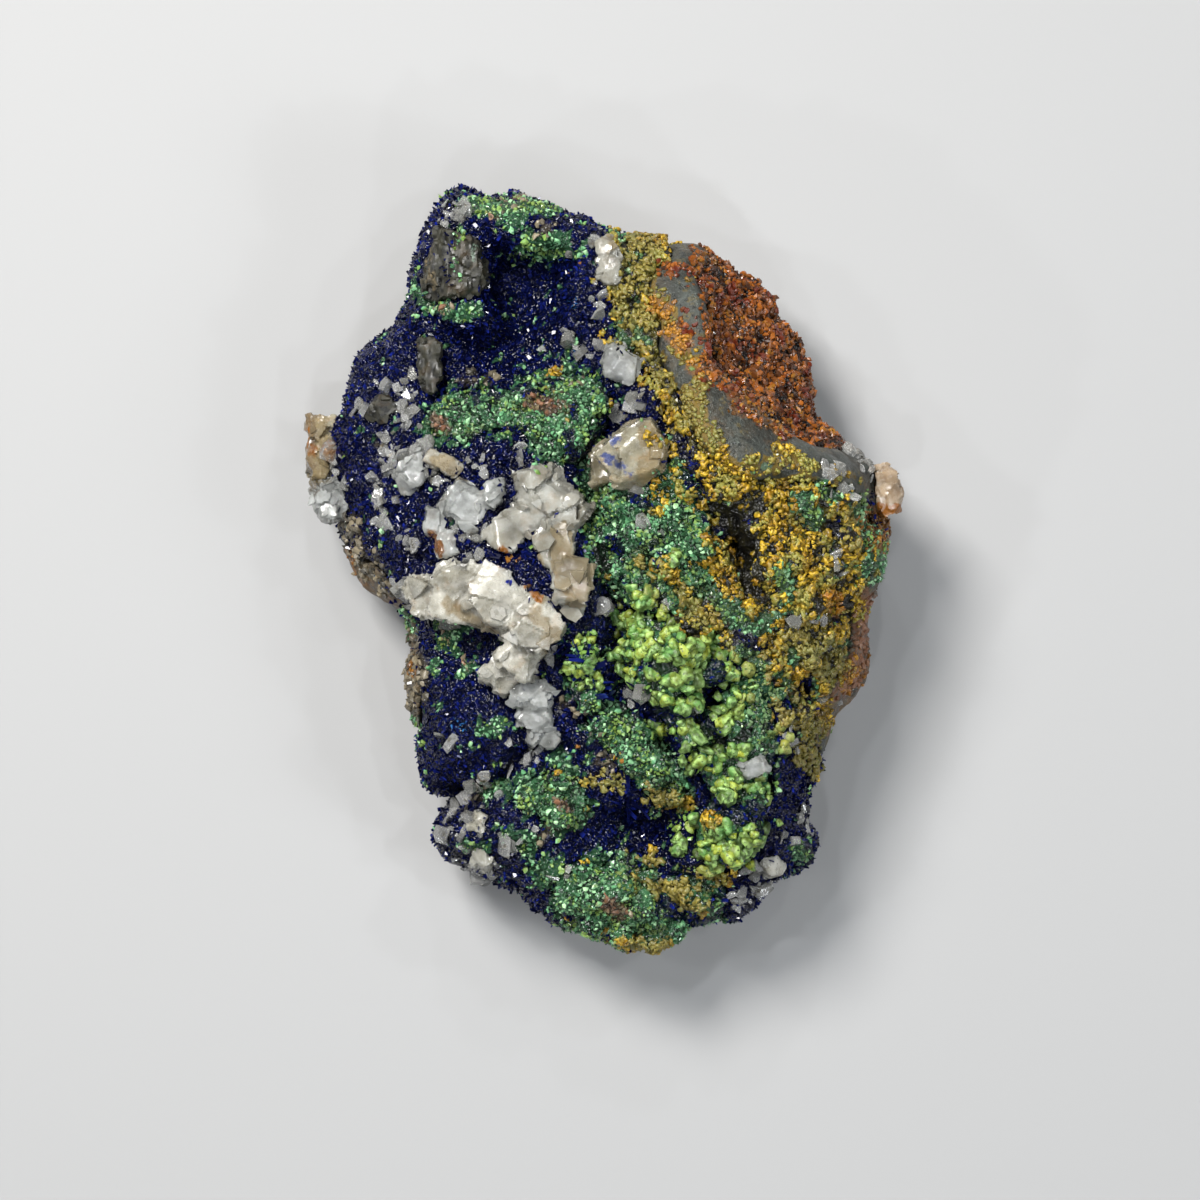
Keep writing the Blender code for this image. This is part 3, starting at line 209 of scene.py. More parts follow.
        (0.5, 1, 1.5, 14.9, 1.7, 14.6), (0.5, 1, 0.5, 13.1, 1.3, 12.5), (0.4, 0.9, 2.2, 12, 2.7, 11.8),
        (0.3, 0.8, 3.1, 11, 3.6, 10.6), (0.9, 0.9, -27.5, -0.3, -25.9, -1.7), (0.7, 0.8, -16.6, -17.8, -15.2, -18.1),
        (0.6, 0.7, -2.8, 31.6, -2.6, 30.9), (0.7, 0.6, -3.5, 26.4, -3.3, 25.5),
    ),
    "olive": (
        (2.4, 0.8, 16.6, -9.4, 18.6, -13.9), (3.6, 0.9, 20.4, -16.4, 22.4, -19.7, 24.7, -20.9),
        (2.4, 0.75, 4.7, 37.4, 2.9, 30.4, 3.5, 26.4), (2.6, 0.85, 7.2, 32, 8.2, 23.6, 12.8, 16.4),
        (2.6, 0.7, 26.8, -10.4, 23.3, -8), (1.9, 0.9, 0, -24.1, 7, -26.2), (2.8, 1, 4.7, -34.9, 11.7, -37.2),
        (1.6, 0.8, 4.7, -43.5, 7, -43), (1.2, 0.6, -9.4, 18.8, -5.6, 20.6), (1, 0.6, -16.2, 16.4, -12.6, 16.8),
        (1.6, 0.7, 4.7, 1.3, 7, -3.4), (1.9, 0.6, 29.1, 3.6, 30.3, 8.3), (2.6, 0.6, 13.1, -4.8, 10.5, -3.4),
    ),
    "orange": (
        (1.2, 1, 7.5, 30.2, 6.3, 30.4), (1.3, 1, 8.4, 27.2, 9.6, 26.2), (1.4, 0.8, 13.3, 37.4, 12.4, 36),
        (1, 1, 27.1, -2.9, 27.1, -4.8), (1.2, 0.7, 10.5, 23.4, 12.1, 22.3), (2.3, 0.7, 16.3, 19.9, 21, 17.6),
        (2.4, 2, 32.4, 5.3, 36.4, 5), (0.7, 1, -22.6, -10.8, -22.2, -11.3), (0.9, 1, -19.6, 3.6, -18.9, 2.7),
        (0.3, 1, -26.5, 24.7, -26.1, 24.6), (0.3, 1, -2.9, 34.6, -2.6, 34.5), (0.3, 1, -31.1, 13.9, -31, 13.6),
        (1, 0.6, -35, 16.4, -34.3, 14.1), (1, 0.7, -32.6, 23.4, -31.5, 21.8), (0.8, 0.7, 30.1, -9.9, 29.4, -10.4),
        (0.5, 0.8, -2.1, -19.5, -1.9, -19.7), (0.5, 0.8, 1.4, -21.6, 1.9, -21.8),
        (1.2, 0.9, 29.4, -12.9, 30.5, -12.2), (0.8, 0.8, -29.8, 2.7, -28.9, 1.3), (0.8, 1, -11.4, 1.6, -10.4, 1),
        (0.9, 1, -7.8, -1.8, -7, -3),
    ),
    "earth": (
        (1.2, 1, -29.6, 5.9, -28.9, 2.7, -27.3, 0.1), (0.9, 0.9, -26.6, 1.3, -25.2, -2.2),
        (1, 1, -22.7, -7.1, -22.2, -9.2, -22.7, -12.7, -21.9, -15.7), (1, 0.9, -21.2, -10.8, -21.2, -15),
        (1.4, 0.9, -33.6, 23.4, -34.3, 19.9, -35, 16.4, -35.2, 12.9), (0.9, 0.7, -35, 10.6, -33.8, 9.9),
        (0.9, 0.6, -16.8, 22.3, -12.8, 22.5), (0.9, 0.6, -2.8, -14.6, -4, -15.7), (1, 0.6, -4.7, -29.7, -7, -31.1),
        (0.9, 0.6, 0, -21.6, 1.9, -22.5), (0.9, 0.6, -13.1, -24.4, -15.2, -25.5), (0.9, 0.6, -9.3, 43.7, -11, 43.3),
        (0.9, 0.6, -7, 39.5, -5.6, 39.8), (0.9, 0.6, -2.8, 21.6, -1.6, 22.7), (0.7, 0.5, -28, 15.3, -23.3, 14.6),
        (1, 0.5, -1.2, -28.1, -3, -29.7), (0.9, 0.6, -15.6, -26.7, -14.2, -26.7), (0.9, 0.5, -2.3, -15.5, 0.5, -19.7),
    ),
    "pale": (
        (0.9, 1, -15.9, 4.3, -13.6, 3.5), (0.8, 1, -16.3, 1.5, -14.4, 0.9), (0.7, 0.9, -12.3, 1.9, -11.4, 3.3),
        (1, 1, -25.4, 12, -24.2, 14.6), (1, 1, -21.4, 14, -19.8, 14.6), (0.9, 0.9, -26.4, 9.6, -25, 7.8),
        (0.9, 0.9, -24.4, 4.6, -25.4, 6), (0.8, 0.9, -14.6, 13.2, -13.4, 11.8),
        (0.9, 0.9, -17.4, -30.4, -16.2, -31.6), (0.9, 0.9, -11.2, -31, -10.4, -32.4),
        (0.9, 0.8, -16.6, -33.6, -15.4, -35), (0.9, 0.9, 17.6, -34.6, 18.6, -36),
        (0.9, 1, -27.3, 17.6, -26.6, 19.5, -27.8, 18.5), (0.8, 1, -24.3, 18.8, -22.4, 20.4),
        (0.8, 1, -22.9, 18.1, -21.2, 18.3), (0.7, 0.9, -25.2, 16.4, -21.9, 16.9),
        (0.9, 0.9, -23.3, 23.2, -22.2, 22.3), (0.7, 0.8, -26.6, 21.8, -24.5, 20.9),
        (0.9, 1, -23.8, 12.9, -22.9, 12.5), (1.2, 1, -22.9, 11.1, -21, 11.8), (0.8, 1, -20.5, 12.7, -19.8, 11.3),
        (0.9, 1, -19.1, 10.4, -18, 10.1), (1, 1, -19.1, 6.9, -18, 5.7), (0.9, 1, -22.9, 3.6, -21.9, 2.7),
        (0.8, 1, -17.3, 3.6, -16.6, 4.3), (0.8, 0.9, -10.3, 14.1, -9.3, 12.7), (0.9, 1, -14, 8.3, -12.8, 7.6),
        (0.8, 0.9, -11.7, 8.3, -9.8, 8.5), (1, 1, -4.2, 27.6, -3.5, 26.7), (0.7, 0.8, -2.6, 26.2, -0.9, 25.1),
        (0.7, 0.8, -3.5, 37, -2.6, 36.7), (0.8, 0.9, 0.7, 36.5, 2.1, 33.2), (0.7, 0.8, 0, 37.9, -0.9, 38.6),
        (0.9, 0.8, -0.5, 30.4, -1.2, 31.4), (1.2, 1, -22.9, -2.2, -21, -2.9), (0.8, 0.9, -19.8, -4.5, -17.5, -5),
        (1.2, 0.8, 2.3, 18.5, 4.2, 19.5), (1, 0.7, 0.7, 10.8, 4.7, 9.9), (1, 0.8, -4.9, -8, -5.8, -9.9),
        (0.7, 0.8, -3, -14.6, -1.9, -15), (0.8, 0.8, -8.2, -20.9, -7.2, -21.1), (0.8, 0.8, -10.5, -22.5, -9.8, -22.5),
        (0.6, 0.8, -9.6, -19.9, -10, -19.2), (0.6, 1, -7.9, -29.7, -7.7, -30.2), (0.9, 0.9, 22.2, -31.1, 21, -31.6),
        (0.9, 0.9, 24, -29.7, 23.8, -27.9), (0.8, 0.9, 16.3, -22, 18.2, -22.7), (0.9, 1, 16.1, -38.6, 16.8, -39.3),
        (0.9, 0.9, 18.9, -37.7, 20.1, -37), (0.7, 0.9, 17.5, -37.2, 18.2, -36.3),
        (0.8, 0.8, 21.5, -19.2, 22.4, -20.2), (0.9, 1, 26.8, 1.3, 27.3, 0.1), (0.7, 0.8, 26.4, -7.3, 27.1, -8.7),
        (0.8, 0.8, 26.4, -13.9, 27.3, -15.3), (0.7, 0.7, 24, -5.9, 25.2, -5.7), (0.9, 0.9, 28.2, 9.7, 29.1, 8.5),
        (0.8, 0.9, 25.7, 11.3, 27.5, 11.1), (0.8, 0.7, 26.4, 8.3, 27.1, 6.9), (0.9, 0.9, -14.7, -29, -14.2, -30.2),
        (0.9, 0.9, -13.8, -32.8, -12.8, -34.2), (0.8, 0.9, -13.1, -35.1, -13.8, -36),
        (0.7, 0.7, -16.3, -26.7, -17.3, -28.1), (0.9, 0.9, -31.5, 9, -30.5, 10.1), (0.9, 0.9, -31.9, 13.4, -31, 12.2),
        (0.8, 0.8, -32.9, 8.3, -31.5, 7.1), (0.8, 0.8, -35, 11.3, -34.3, 9.9), (0.8, 0.8, -14, -24.6, -15.2, -25.3),
        (0.7, 0.7, -11.7, -26.7, -10.3, -26.7), (0.7, 0.6, -18.7, -19.2, -17.3, -19.9),
        (0.7, 0.8, -4.7, -34.9, -3.3, -34.6), (0.7, 0.7, 10.3, -13.9, 11.2, -15), (0.6, 0.9, 3.7, -14.6, 4.7, -15),
        (1, 1.2, 29.4, 14, 31, 13, 32.6, 11.2), (0.6, 0.8, 0.5, -4.8, 0.7, -3.8), (0.8, 0.6, -7, 26.9, -4.7, 25.1),
        (0.7, 0.8, 7, 4.1, 5.8, 4.8), (0.6, 0.9, 7, -4.1, 7.5, -4.5), (0.7, 0.8, 23.3, -5.7, 24.5, -5.2),
        (0.8, 0.8, -17.5, 42.7, -16.6, 41.6), (1, 1, -17.7, 41.4, -15.2, 41.9),
    ),
}


# ---- Sizes and colours a user may change ----
class SpecimenSettings(bpy.types.PropertyGroup):
    blade_spacing: FloatProperty(
        name="Azurite blade spacing",
        description="Least distance between azurite blades",
        default=0.435 * MM,
        unit="LENGTH",
    )
    blade_size: FloatProperty(
        name="Azurite blade length",
        description="Length of the longest azurite blades",
        default=0.88 * MM,
        unit="LENGTH",
    )
    tuft_spacing: FloatProperty(
        name="Malachite tuft spacing",
        description="Least distance between malachite tufts",
        default=0.40 * MM,
        unit="LENGTH",
    )
    tuft_size: FloatProperty(
        name="Malachite tuft size",
        description="Length of the largest malachite tufts",
        default=0.80 * MM,
        unit="LENGTH",
    )
    button_size: FloatProperty(
        name="Button size",
        description="Radius of the largest malachite buttons",
        default=0.92 * MM,
        unit="LENGTH",
    )
    ochre_size: FloatProperty(
        name="Limonite lump size",
        description="Radius of the largest limonite lumps",
        default=0.50 * MM,
        unit="LENGTH",
    )
    azurite_deep: FloatVectorProperty(
        name="Azurite shade",
        description="Colour of the darkest blades",
        subtype="COLOR",
        default=(0.0008, 0.0012, 0.010),
    )
    azurite_bright: FloatVectorProperty(
        name="Azurite colour",
        description="Colour of the brightest blades",
        subtype="COLOR",
        default=(0.012, 0.025, 0.27),
    )
    malachite_green: FloatVectorProperty(
        name="Malachite colour",
        description="Colour of the malachite tufts",
        subtype="COLOR",
        default=(0.105, 0.320, 0.135),
    )
    button_green: FloatVectorProperty(
        name="Button colour",
        description="Colour of the malachite buttons",
        subtype="COLOR",
        default=(0.250, 0.44, 0.075),
    )
    ochre: FloatVectorProperty(
        name="Limonite colour",
        description="Colour of the limonite lumps",
        subtype="COLOR",
        default=(0.64, 0.38, 0.018),
    )
    rust: FloatVectorProperty(
        name="Goethite colour",
        description="Colour of the goethite grains",
        subtype="COLOR",
        default=(0.25, 0.066, 0.009),
    )
    rock: FloatVectorProperty(
        name="Host rock colour",
        description="Colour of the clean host rock",
        subtype="COLOR",
        default=(0.050, 0.057, 0.049),
    )
    floor: FloatVectorProperty(
        name="Floor colour",
        description="Colour of the studio floor",
        subtype="COLOR",
        default=(0.37, 0.37, 0.37),
    )


# ---- Node trees ----
MIX_A, MIX_B, MIX_COLOUR = 6, 7, 2  # the Mix node's colour inputs and output; other sockets have the same names
RANDOM_LEAST, RANDOM_MOST, RANDOM_NUMBER = 2, 3, 1  # the Random Value node's number inputs and output, likewise


class Nodes:
    """A node tree whose nodes are added and joined one at a time."""

    def __init__(self, tree):
        self.tree = tree

    def feed(self, socket, value):
        """Links a socket to another one, or sets its value."""
        if isinstance(value, bpy.types.NodeSocket):
            self.tree.links.new(value, socket)
        elif socket.type == "RGBA" and len(value) == 3:
            socket.default_value = (*value, 1.0)
        else:
            socket.default_value = value

    def node(self, kind, inputs=(), **settings):
        node = self.tree.nodes.new(kind)
        for key, value in settings.items():
            setattr(node, key, value)
        for key, value in dict(inputs).items():
            self.feed(node.inputs[key], value)
        return node

    def attribute(self, name):
        return self.node("ShaderNodeAttribute", attribute_name=name).outputs["Fac"]

    def place(self):
        return self.node("ShaderNodeTexCoord").outputs["Object"]

    def math(self, operation, a, b=0.0):
        return self.node("ShaderNodeMath", {0: a, 1: b}, operation=operation).outputs[0]

    def ramp(self, value, inputs, **settings):
        return self.node("ShaderNodeMapRange", {"Value": value, **inputs}, **settings).outputs["Result"]

    def mix(self, share, a, b, blend_type="MIX"):
        inputs = {0: share, MIX_A: a, MIX_B: b}
        return self.node("ShaderNodeMix", inputs, data_type="RGBA", blend_type=blend_type).outputs[MIX_COLOUR]


# ---- Shader groups that several finishes share; their sizes and depths are in millimetres ----
def shader_group(output, kind, **inputs):
    """Turns a builder into a function that gives its node group, built the first time; tuples are colours."""

    def wrap(builder):
        def give():
            name = builder.__name__.removesuffix("_group")
            tree = bpy.data.node_groups.get(name)
            if tree:
                return tree
            tree = bpy.data.node_groups.new(name, "ShaderNodeTree")
            for label, default in inputs.items():
                socket_type = "NodeSocketColor" if isinstance(default, tuple) else "NodeSocketFloat"
                tree.interface.new_socket(label, in_out="INPUT", socket_type=socket_type).default_value = default
            tree.interface.new_socket(output, in_out="OUTPUT", socket_type="NodeSocket" + kind)
            n = Nodes(tree)
            n.node("NodeGroupOutput", {0: builder(n, n.node("NodeGroupInput").outputs)})
            return tree

        return give

    return wrap


def cloud_nodes(n, size, detail):
    inputs = {"Vector": n.place(), "Scale": n.math("DIVIDE", 1 / MM, size), "Detail": detail, "Roughness": 0.62}
    return n.node("ShaderNodeTexNoise", inputs).outputs["Fac"]


@shader_group("Mask", "Float", Size=1.0, Detail=3.0, Low=0.4, High=0.6)
def speckle_group(n, given):
    """A mask of ragged patches."""
    cloud = cloud_nodes(n, given["Size"], given["Detail"])
    return n.ramp(cloud, {"From Min": given["Low"], "From Max": given["High"]}, interpolation_type="SMOOTHSTEP")


@shader_group("Normal", "Vector", Size=0.3, Detail=3.0, Depth=0.1, Strength=0.7)
def skin_group(n, given):
    """The fine roughness of a surface, as a normal."""
    cloud = cloud_nodes(n, given["Size"], given["Detail"])
    bump = {"Height": cloud, "Distance": n.math("MULTIPLY", given["Depth"], MM), "Strength": given["Strength"]}
    return n.node("ShaderNodeBump", bump).outputs["Normal"]


@shader_group("Normal", "Vector", Size=0.4, Depth=0.1)
def facets_group(n, given):
    """Tiny crystal faces that catch the light, as a normal."""
    cells = n.node("ShaderNodeTexVoronoi", {"Vector": n.place(), "Scale": n.math("DIVIDE", 1 / MM, given["Size"])})
    depth = n.math("MULTIPLY", given["Depth"], MM)
    bump = {"Height": cells.outputs["Distance"], "Distance": depth, "Strength": 1.0}
    return n.node("ShaderNodeBump", bump, invert=True).outputs["Normal"]


@shader_group("Colour", "Color", Colour=(1.0, 1.0, 1.0, 1.0), Amount=0.7)
def hollow_group(n, given):
    """Painted shade: darkens a colour in the hollows and low creases, where shade falls."""
    # painted shade: the stored occlusion mixes the colour towards near black
    amount = n.math("MULTIPLY", n.attribute("painted_occlusion_shade"), given["Amount"])
    return n.mix(amount, given["Colour"], (0.04, 0.04, 0.05), "MULTIPLY")


@shader_group(
    "Colour", "Color", Colour=(1.0, 1.0, 1.0, 1.0), Stain=(1.0, 1.0, 1.0, 1.0), Where=0.0, Size=1.0, Cover=0.8
)
def stain_group(n, given):
    """Brings in another colour in ragged patches where a value lets it."""
    edge = n.math("ADD", cloud_nodes(n, given["Size"], 4.0), given["Where"])
    limits = {"From Min": 0.85, "From Max": 1.15, "To Max": given["Cover"]}
    share = n.ramp(edge, limits, interpolation_type="SMOOTHSTEP")
    return n.mix(share, given["Colour"], given["Stain"])


class Finish(Nodes):
    """A material with its nodes, and the effects that it can use."""

    def __init__(self, name):
        self.material = bpy.data.materials.new(name)
        self.material.use_nodes = True
        super().__init__(self.material.node_tree)
        self.surface = self.tree.nodes["Principled BSDF"]

    def group(self, tree, **values):
        inputs = {key.capitalize(): value for key, value in values.items()}
        return self.node("ShaderNodeGroup", inputs, node_tree=tree).outputs[0]

    def speckle(self, size, low=0.4, high=0.6, detail=3.0):
        return self.group(speckle_group(), size=size, low=low, high=high, detail=detail)

    def skin(self, size, depth, strength=0.7, detail=3.0):
        return self.group(skin_group(), size=size, depth=depth, strength=strength, detail=detail)

    def facets(self, size, depth):
        return self.group(facets_group(), size=size, depth=depth)

    def stain(self, colour, attribute, stain, size=1.0, cover=0.85):
        where = self.attribute(attribute)
        return self.group(stain_group(), colour=colour, stain=stain, where=where, size=size, cover=cover)

    def hollow(self, colour, amount=0.8):
        return self.group(hollow_group(), colour=colour, amount=amount)

    def span(self, value, least, most):
        return self.ramp(value, {"To Min": least, "To Max": most})

    def finish(self, **inputs):
        for key, value in inputs.items():
            self.feed(self.surface.inputs[key.replace("_", " ")], value)
        return self.material


def shade(colour, factor, tilt=(1.0, 1.0, 1.0)):
    return tuple(min(1.0, part * factor * way) for part, way in zip(colour, tilt))


def once(maker):
    """Makes a material the first time it is asked for, and gives the same one after that."""

    def wrapper(settings):
        name = maker.__name__.replace("_", " ")
        return bpy.data.materials.get(name) or maker(settings, Finish(name))

    return wrapper


# ---- Finishes of the grains ----
@once
def azurite_blades(settings, f):
    tint = f.attribute("tint")
    # painted shade at each blade's foot, brighter towards its tip
    lit = f.math("MULTIPLY", f.math("POWER", tint, 1.7), f.span(f.attribute("painted_crest_light"), 0.20, 1.0))
    lit = f.math("MULTIPLY", lit, f.span(f.speckle(3.6, 0.36, 0.64), 0.40, 1.0))
    colour = f.mix(lit, settings.azurite_deep, settings.azurite_bright)
    colour = f.stain(colour, "azure", (0.03, 0.16, 0.42), 0.8)
    roughness = f.span(f.math("FRACT", f.math("MULTIPLY", tint, 7.3)), 0.02, 0.13)
    return f.finish(Base_Color=f.hollow(colour, 0.85), Roughness=roughness, IOR=1.50, Specular_IOR_Level=0.32)


@once
def malachite_tufts(settings, f):
    green = settings.malachite_green
    tip = f.attribute("painted_crest_light")
    # painted light: tufts shaded near black at the foot and bright at the tips, some pale there
    colour = f.mix(tip, shade(green, 0.08, (0.7, 1.0, 1.0)), shade(green, 1.45, (1.15, 1.0, 1.1)))
    pale = f.math("MULTIPLY", f.math("POWER", f.attribute("tint"), 1.9), tip)
    colour = f.mix(pale, colour, shade(green, 2.6, (2.0, 1.05, 1.35)))
    colour = f.mix(f.span(f.speckle(1.8, 0.44, 0.60, 4.0), 0.0, 0.85), colour, shade(green, 0.20, (0.8, 1.0, 1.1)))
    colour = f.mix(f.span(f.speckle(2.4, 0.50, 0.60, 4.0), 0.0, 0.8), colour, shade(green, 0.90, (2.3, 1.15, 0.5)))
    colour = f.stain(colour, "rosy", (0.16, 0.080, 0.055), 0.7)
    colour = f.stain(colour, "lime", shade(settings.button_green, 0.9), 0.8)
    colour = f.stain(colour, "ochre", shade(settings.ochre, 0.5), 0.8)
    colour = f.stain(colour, "olive", (0.10, 0.12, 0.035), 0.9, 0.6)
    return f.finish(Base_Color=f.hollow(colour, 0.85), Roughness=f.span(f.attribute("tint"), 0.14, 0.45))


@once
def malachite_buttons(settings, f):
    green = settings.button_green
    # painted light: lobes shaded in their pits and low down, pale on top
    colour = f.mix(f.attribute("painted_crest_light"), shade(green, 0.14, (0.9, 1.0, 0.8)), shade(green, 1.55, (1.12, 1.04, 1.9)))
    yellow = f.math("POWER", f.attribute("tint"), 2.4)
    colour = f.mix(f.math("MULTIPLY", yellow, 0.6), colour, shade(green, 1.10, (1.75, 1.05, 0.35)))
    colour = f.stain(colour, "olive", (0.26, 0.25, 0.055), 0.9, 0.7)
    colour = f.mix(f.span(f.speckle(2.6, 0.50, 0.66), 0.0, 0.7), colour, shade(green, 0.62, (0.60, 1.0, 1.45)))
    colour = f.mix(f.speckle(0.34, 0.34, 0.46, 2.0), shade(green, 0.20), colour)
    return f.finish(Base_Color=f.hollow(colour, 0.9), Roughness=0.38, Normal=f.skin(0.28, 0.12, 0.9, 2.0))


@once
def limonite_lumps(settings, f):
    ochre = settings.ochre
    colour = f.mix(f.attribute("tint"), shade(ochre, 0.48, (1.0, 0.85, 1.0)), shade(ochre, 1.20, (1.0, 1.12, 1.5)))
    # painted shade in the creases between lumps, lighter on their tops
    colour = f.mix(f.math("POWER", f.attribute("painted_crest_light"), 1.5), shade(ochre, 0.12), colour)
    colour = f.mix(f.span(f.speckle(2.8, 0.47, 0.60), 0.0, 0.85), colour, (0.215, 0.225, 0.050))
    colour = f.stain(colour, "olive", (0.165, 0.160, 0.045), 0.9, 0.8)
    colour = f.stain(colour, "orange", (0.46, 0.17, 0.012), 0.8, 0.7)
    colour = f.mix(f.speckle(0.3, 0.34, 0.48, 2.0), shade(ochre, 0.22), colour)
    return f.finish(Base_Color=f.hollow(colour, 0.9), Roughness=0.36, Normal=f.skin(0.26, 0.10, 0.9))


@once
def goethite_grains(settings, f):
    rust = settings.rust
    colour = f.mix(f.attribute("tint"), shade(rust, 0.10), shade(rust, 1.35, (1.0, 1.15, 1.2)))
    colour = f.mix(f.span(f.speckle(2.0, 0.54, 0.68), 0.0, 0.8), colour, shade(rust, 1.5, (1.0, 1.7, 1.5)))
    colour = f.mix(f.speckle(3.4, 0.50, 0.62), colour, shade(rust, 0.42, (1.0, 0.60, 1.4)))
    return f.finish(Base_Color=f.hollow(colour, 0.85), Roughness=f.span(f.attribute("tint"), 0.5, 0.2))


@once
def orange_grains(settings, f):
    colour = f.mix(f.attribute("tint"), (0.085, 0.035, 0.008), (0.34, 0.145, 0.018))
    return f.finish(Base_Color=f.hollow(colour, 0.6), Roughness=0.3, Normal=f.skin(0.25, 0.06))


@once
def matrix_crumbs(settings, f):
    colour = f.mix(f.attribute("tint"), (0.030, 0.027, 0.020), (0.24, 0.20, 0.13))
    colour = f.stain(colour, "rosy", (0.26, 0.105, 0.050), 0.8, 0.7)
    return f.finish(Base_Color=f.hollow(colour, 0.7), Roughness=0.4, Normal=f.skin(0.3, 0.08))


@once
def quartz_chips(settings, f):
    colour = f.mix(f.attribute("tint"), (0.52, 0.52, 0.48), (1.0, 1.0, 0.98))
    colour = f.mix(f.speckle(1.2, 0.56, 0.68), colour, (0.40, 0.37, 0.30))
    colour = f.stain(colour, "orange", (0.60, 0.26, 0.06), 0.8)
    return f.finish(
        Base_Color=f.hollow(colour, 0.3),
        Roughness=f.span(f.speckle(0.5), 0.03, 0.12),
        IOR=1.54,
        Transmission_Weight=0.80,
        Normal=f.skin(0.6, 0.06),
    )


# ---- Finishes of what lies under the grains ----
@once
def azurite_bed(settings, f):
    dark, lit = shade(settings.azurite_deep, 0.8), shade(settings.azurite_bright, 0.20)
    colour = f.mix(f.speckle(0.6, 0.45, 0.65), dark, lit)
    colour = f.stain(colour, "green", shade(settings.malachite_green, 0.20), 0.8)
    colour = f.stain(colour, "earth", (0.040, 0.033, 0.022), 1.0)
    colour = f.hollow(colour, 0.85)
    return f.finish(Base_Color=colour, Roughness=0.10, IOR=1.50, Specular_IOR_Level=0.3, Normal=f.facets(0.42, 0.28))


@once
def malachite_bed(settings, f):
    green = settings.malachite_green
    colour = f.mix(f.speckle(1.0, 0.42, 0.60), shade(green, 0.05), shade(green, 0.40))
    colour = f.stain(colour, "blue", settings.azurite_deep, 0.8)
    colour = f.stain(colour, "rosy", (0.07, 0.04, 0.03), 0.8)
    # painted shade in pits and gaps, from the dark strokes
    colour = f.stain(colour, "dark", (0.003, 0.003, 0.003), 0.8)
    return f.finish(Base_Color=f.hollow(colour, 0.85), Roughness=0.25, Normal=f.facets(0.42, 0.22))


@once
def limonite_bed(settings, f):
    colour = f.mix(f.speckle(1.2, 0.46, 0.60), (0.006, 0.005, 0.003), shade(settings.ochre, 0.10, (1.0, 1.4, 1.0)))
    colour = f.stain(colour, "green", shade(settings.malachite_green, 0.20), 0.8)
    colour = f.stain(colour, "blue", settings.azurite_deep, 0.8)
    # painted shade in pits and gaps, from the dark strokes
    colour = f.stain(colour, "dark", (0.003, 0.003, 0.002), 0.8)
    return f.finish(Base_Color=f.hollow(colour, 0.9), Roughness=0.4, Normal=f.facets(0.42, 0.22))


@once
def goethite_bed(settings, f):
    colour = f.mix(f.speckle(0.8, 0.42, 0.62), (0.006, 0.003, 0.002), shade(settings.rust, 0.35))
    return f.finish(Base_Color=f.hollow(colour, 0.85), Roughness=0.4, Normal=f.facets(0.42, 0.22))


CLEAN_ABOVE, STAINED_BELOW = 19, 10  # heights between which the rock gets its stains, in mm


@once
def host_rock(settings, f):
    rock = settings.rock
    colour = f.mix(f.speckle(6.0, 0.38, 0.62, 6.0), shade(rock, 0.60, (1.05, 1.0, 0.95)), shade(rock, 1.25))
    height = f.node("ShaderNodeSeparateXYZ", {"Vector": f.place()}).outputs["Z"]
    low = f.ramp(height, {"From Min": CLEAN_ABOVE * MM, "From Max": STAINED_BELOW * MM})
    brown = f.math("MULTIPLY", f.speckle(5.0, 0.46, 0.60, 6.0), f.span(low, 0.12, 0.95))
    colour = f.mix(brown, colour, (0.15, 0.080, 0.028))
    rusty = f.math("MULTIPLY", f.speckle(2.6, 0.54, 0.66, 5.0), f.span(low, 0.12, 0.9))
    colour = f.mix(rusty, colour, (0.24, 0.105, 0.025))
    pale = f.math("MULTIPLY", f.speckle(4.2, 0.58, 0.66, 5.0), f.span(low, 0.08, 0.85))
    colour = f.mix(pale, colour, (0.36, 0.31, 0.24))
    mottle = f.span(f.speckle(2.2, 0.56, 0.63, 6.0), 0.0, 0.75)
    colour = f.mix(mottle, colour, (0.115, 0.088, 0.030))
    colour = f.stain(colour, "ochre", shade(settings.ochre, 0.25, (1.0, 1.05, 1.3)), 0.9)
    colour = f.stain(colour, "green", (0.09, 0.15, 0.085), 1.2, 0.8)
    colour = f.stain(colour, "earth", (0.12, 0.085, 0.045), 1.0)
    colour = f.stain(colour, "rosy", (0.20, 0.085, 0.040), 0.9, 0.7)
    colour = f.stain(colour, "orange", (0.20, 0.075, 0.015), 0.8, 0.6)
    colour = f.mix(f.speckle(0.7, 0.36, 0.48, 5.0), shade(rock, 0.35), colour)
    colour = f.mix(f.speckle(0.4, 0.60, 0.68, 3.0), colour, shade(rock, 2.4))
    roughness = f.span(f.speckle(1.4), 0.30, 0.60)
    return f.finish(Base_Color=f.hollow(colour, 0.75), Roughness=roughness, Normal=f.skin(0.9, 0.55, 0.9, 8.0))


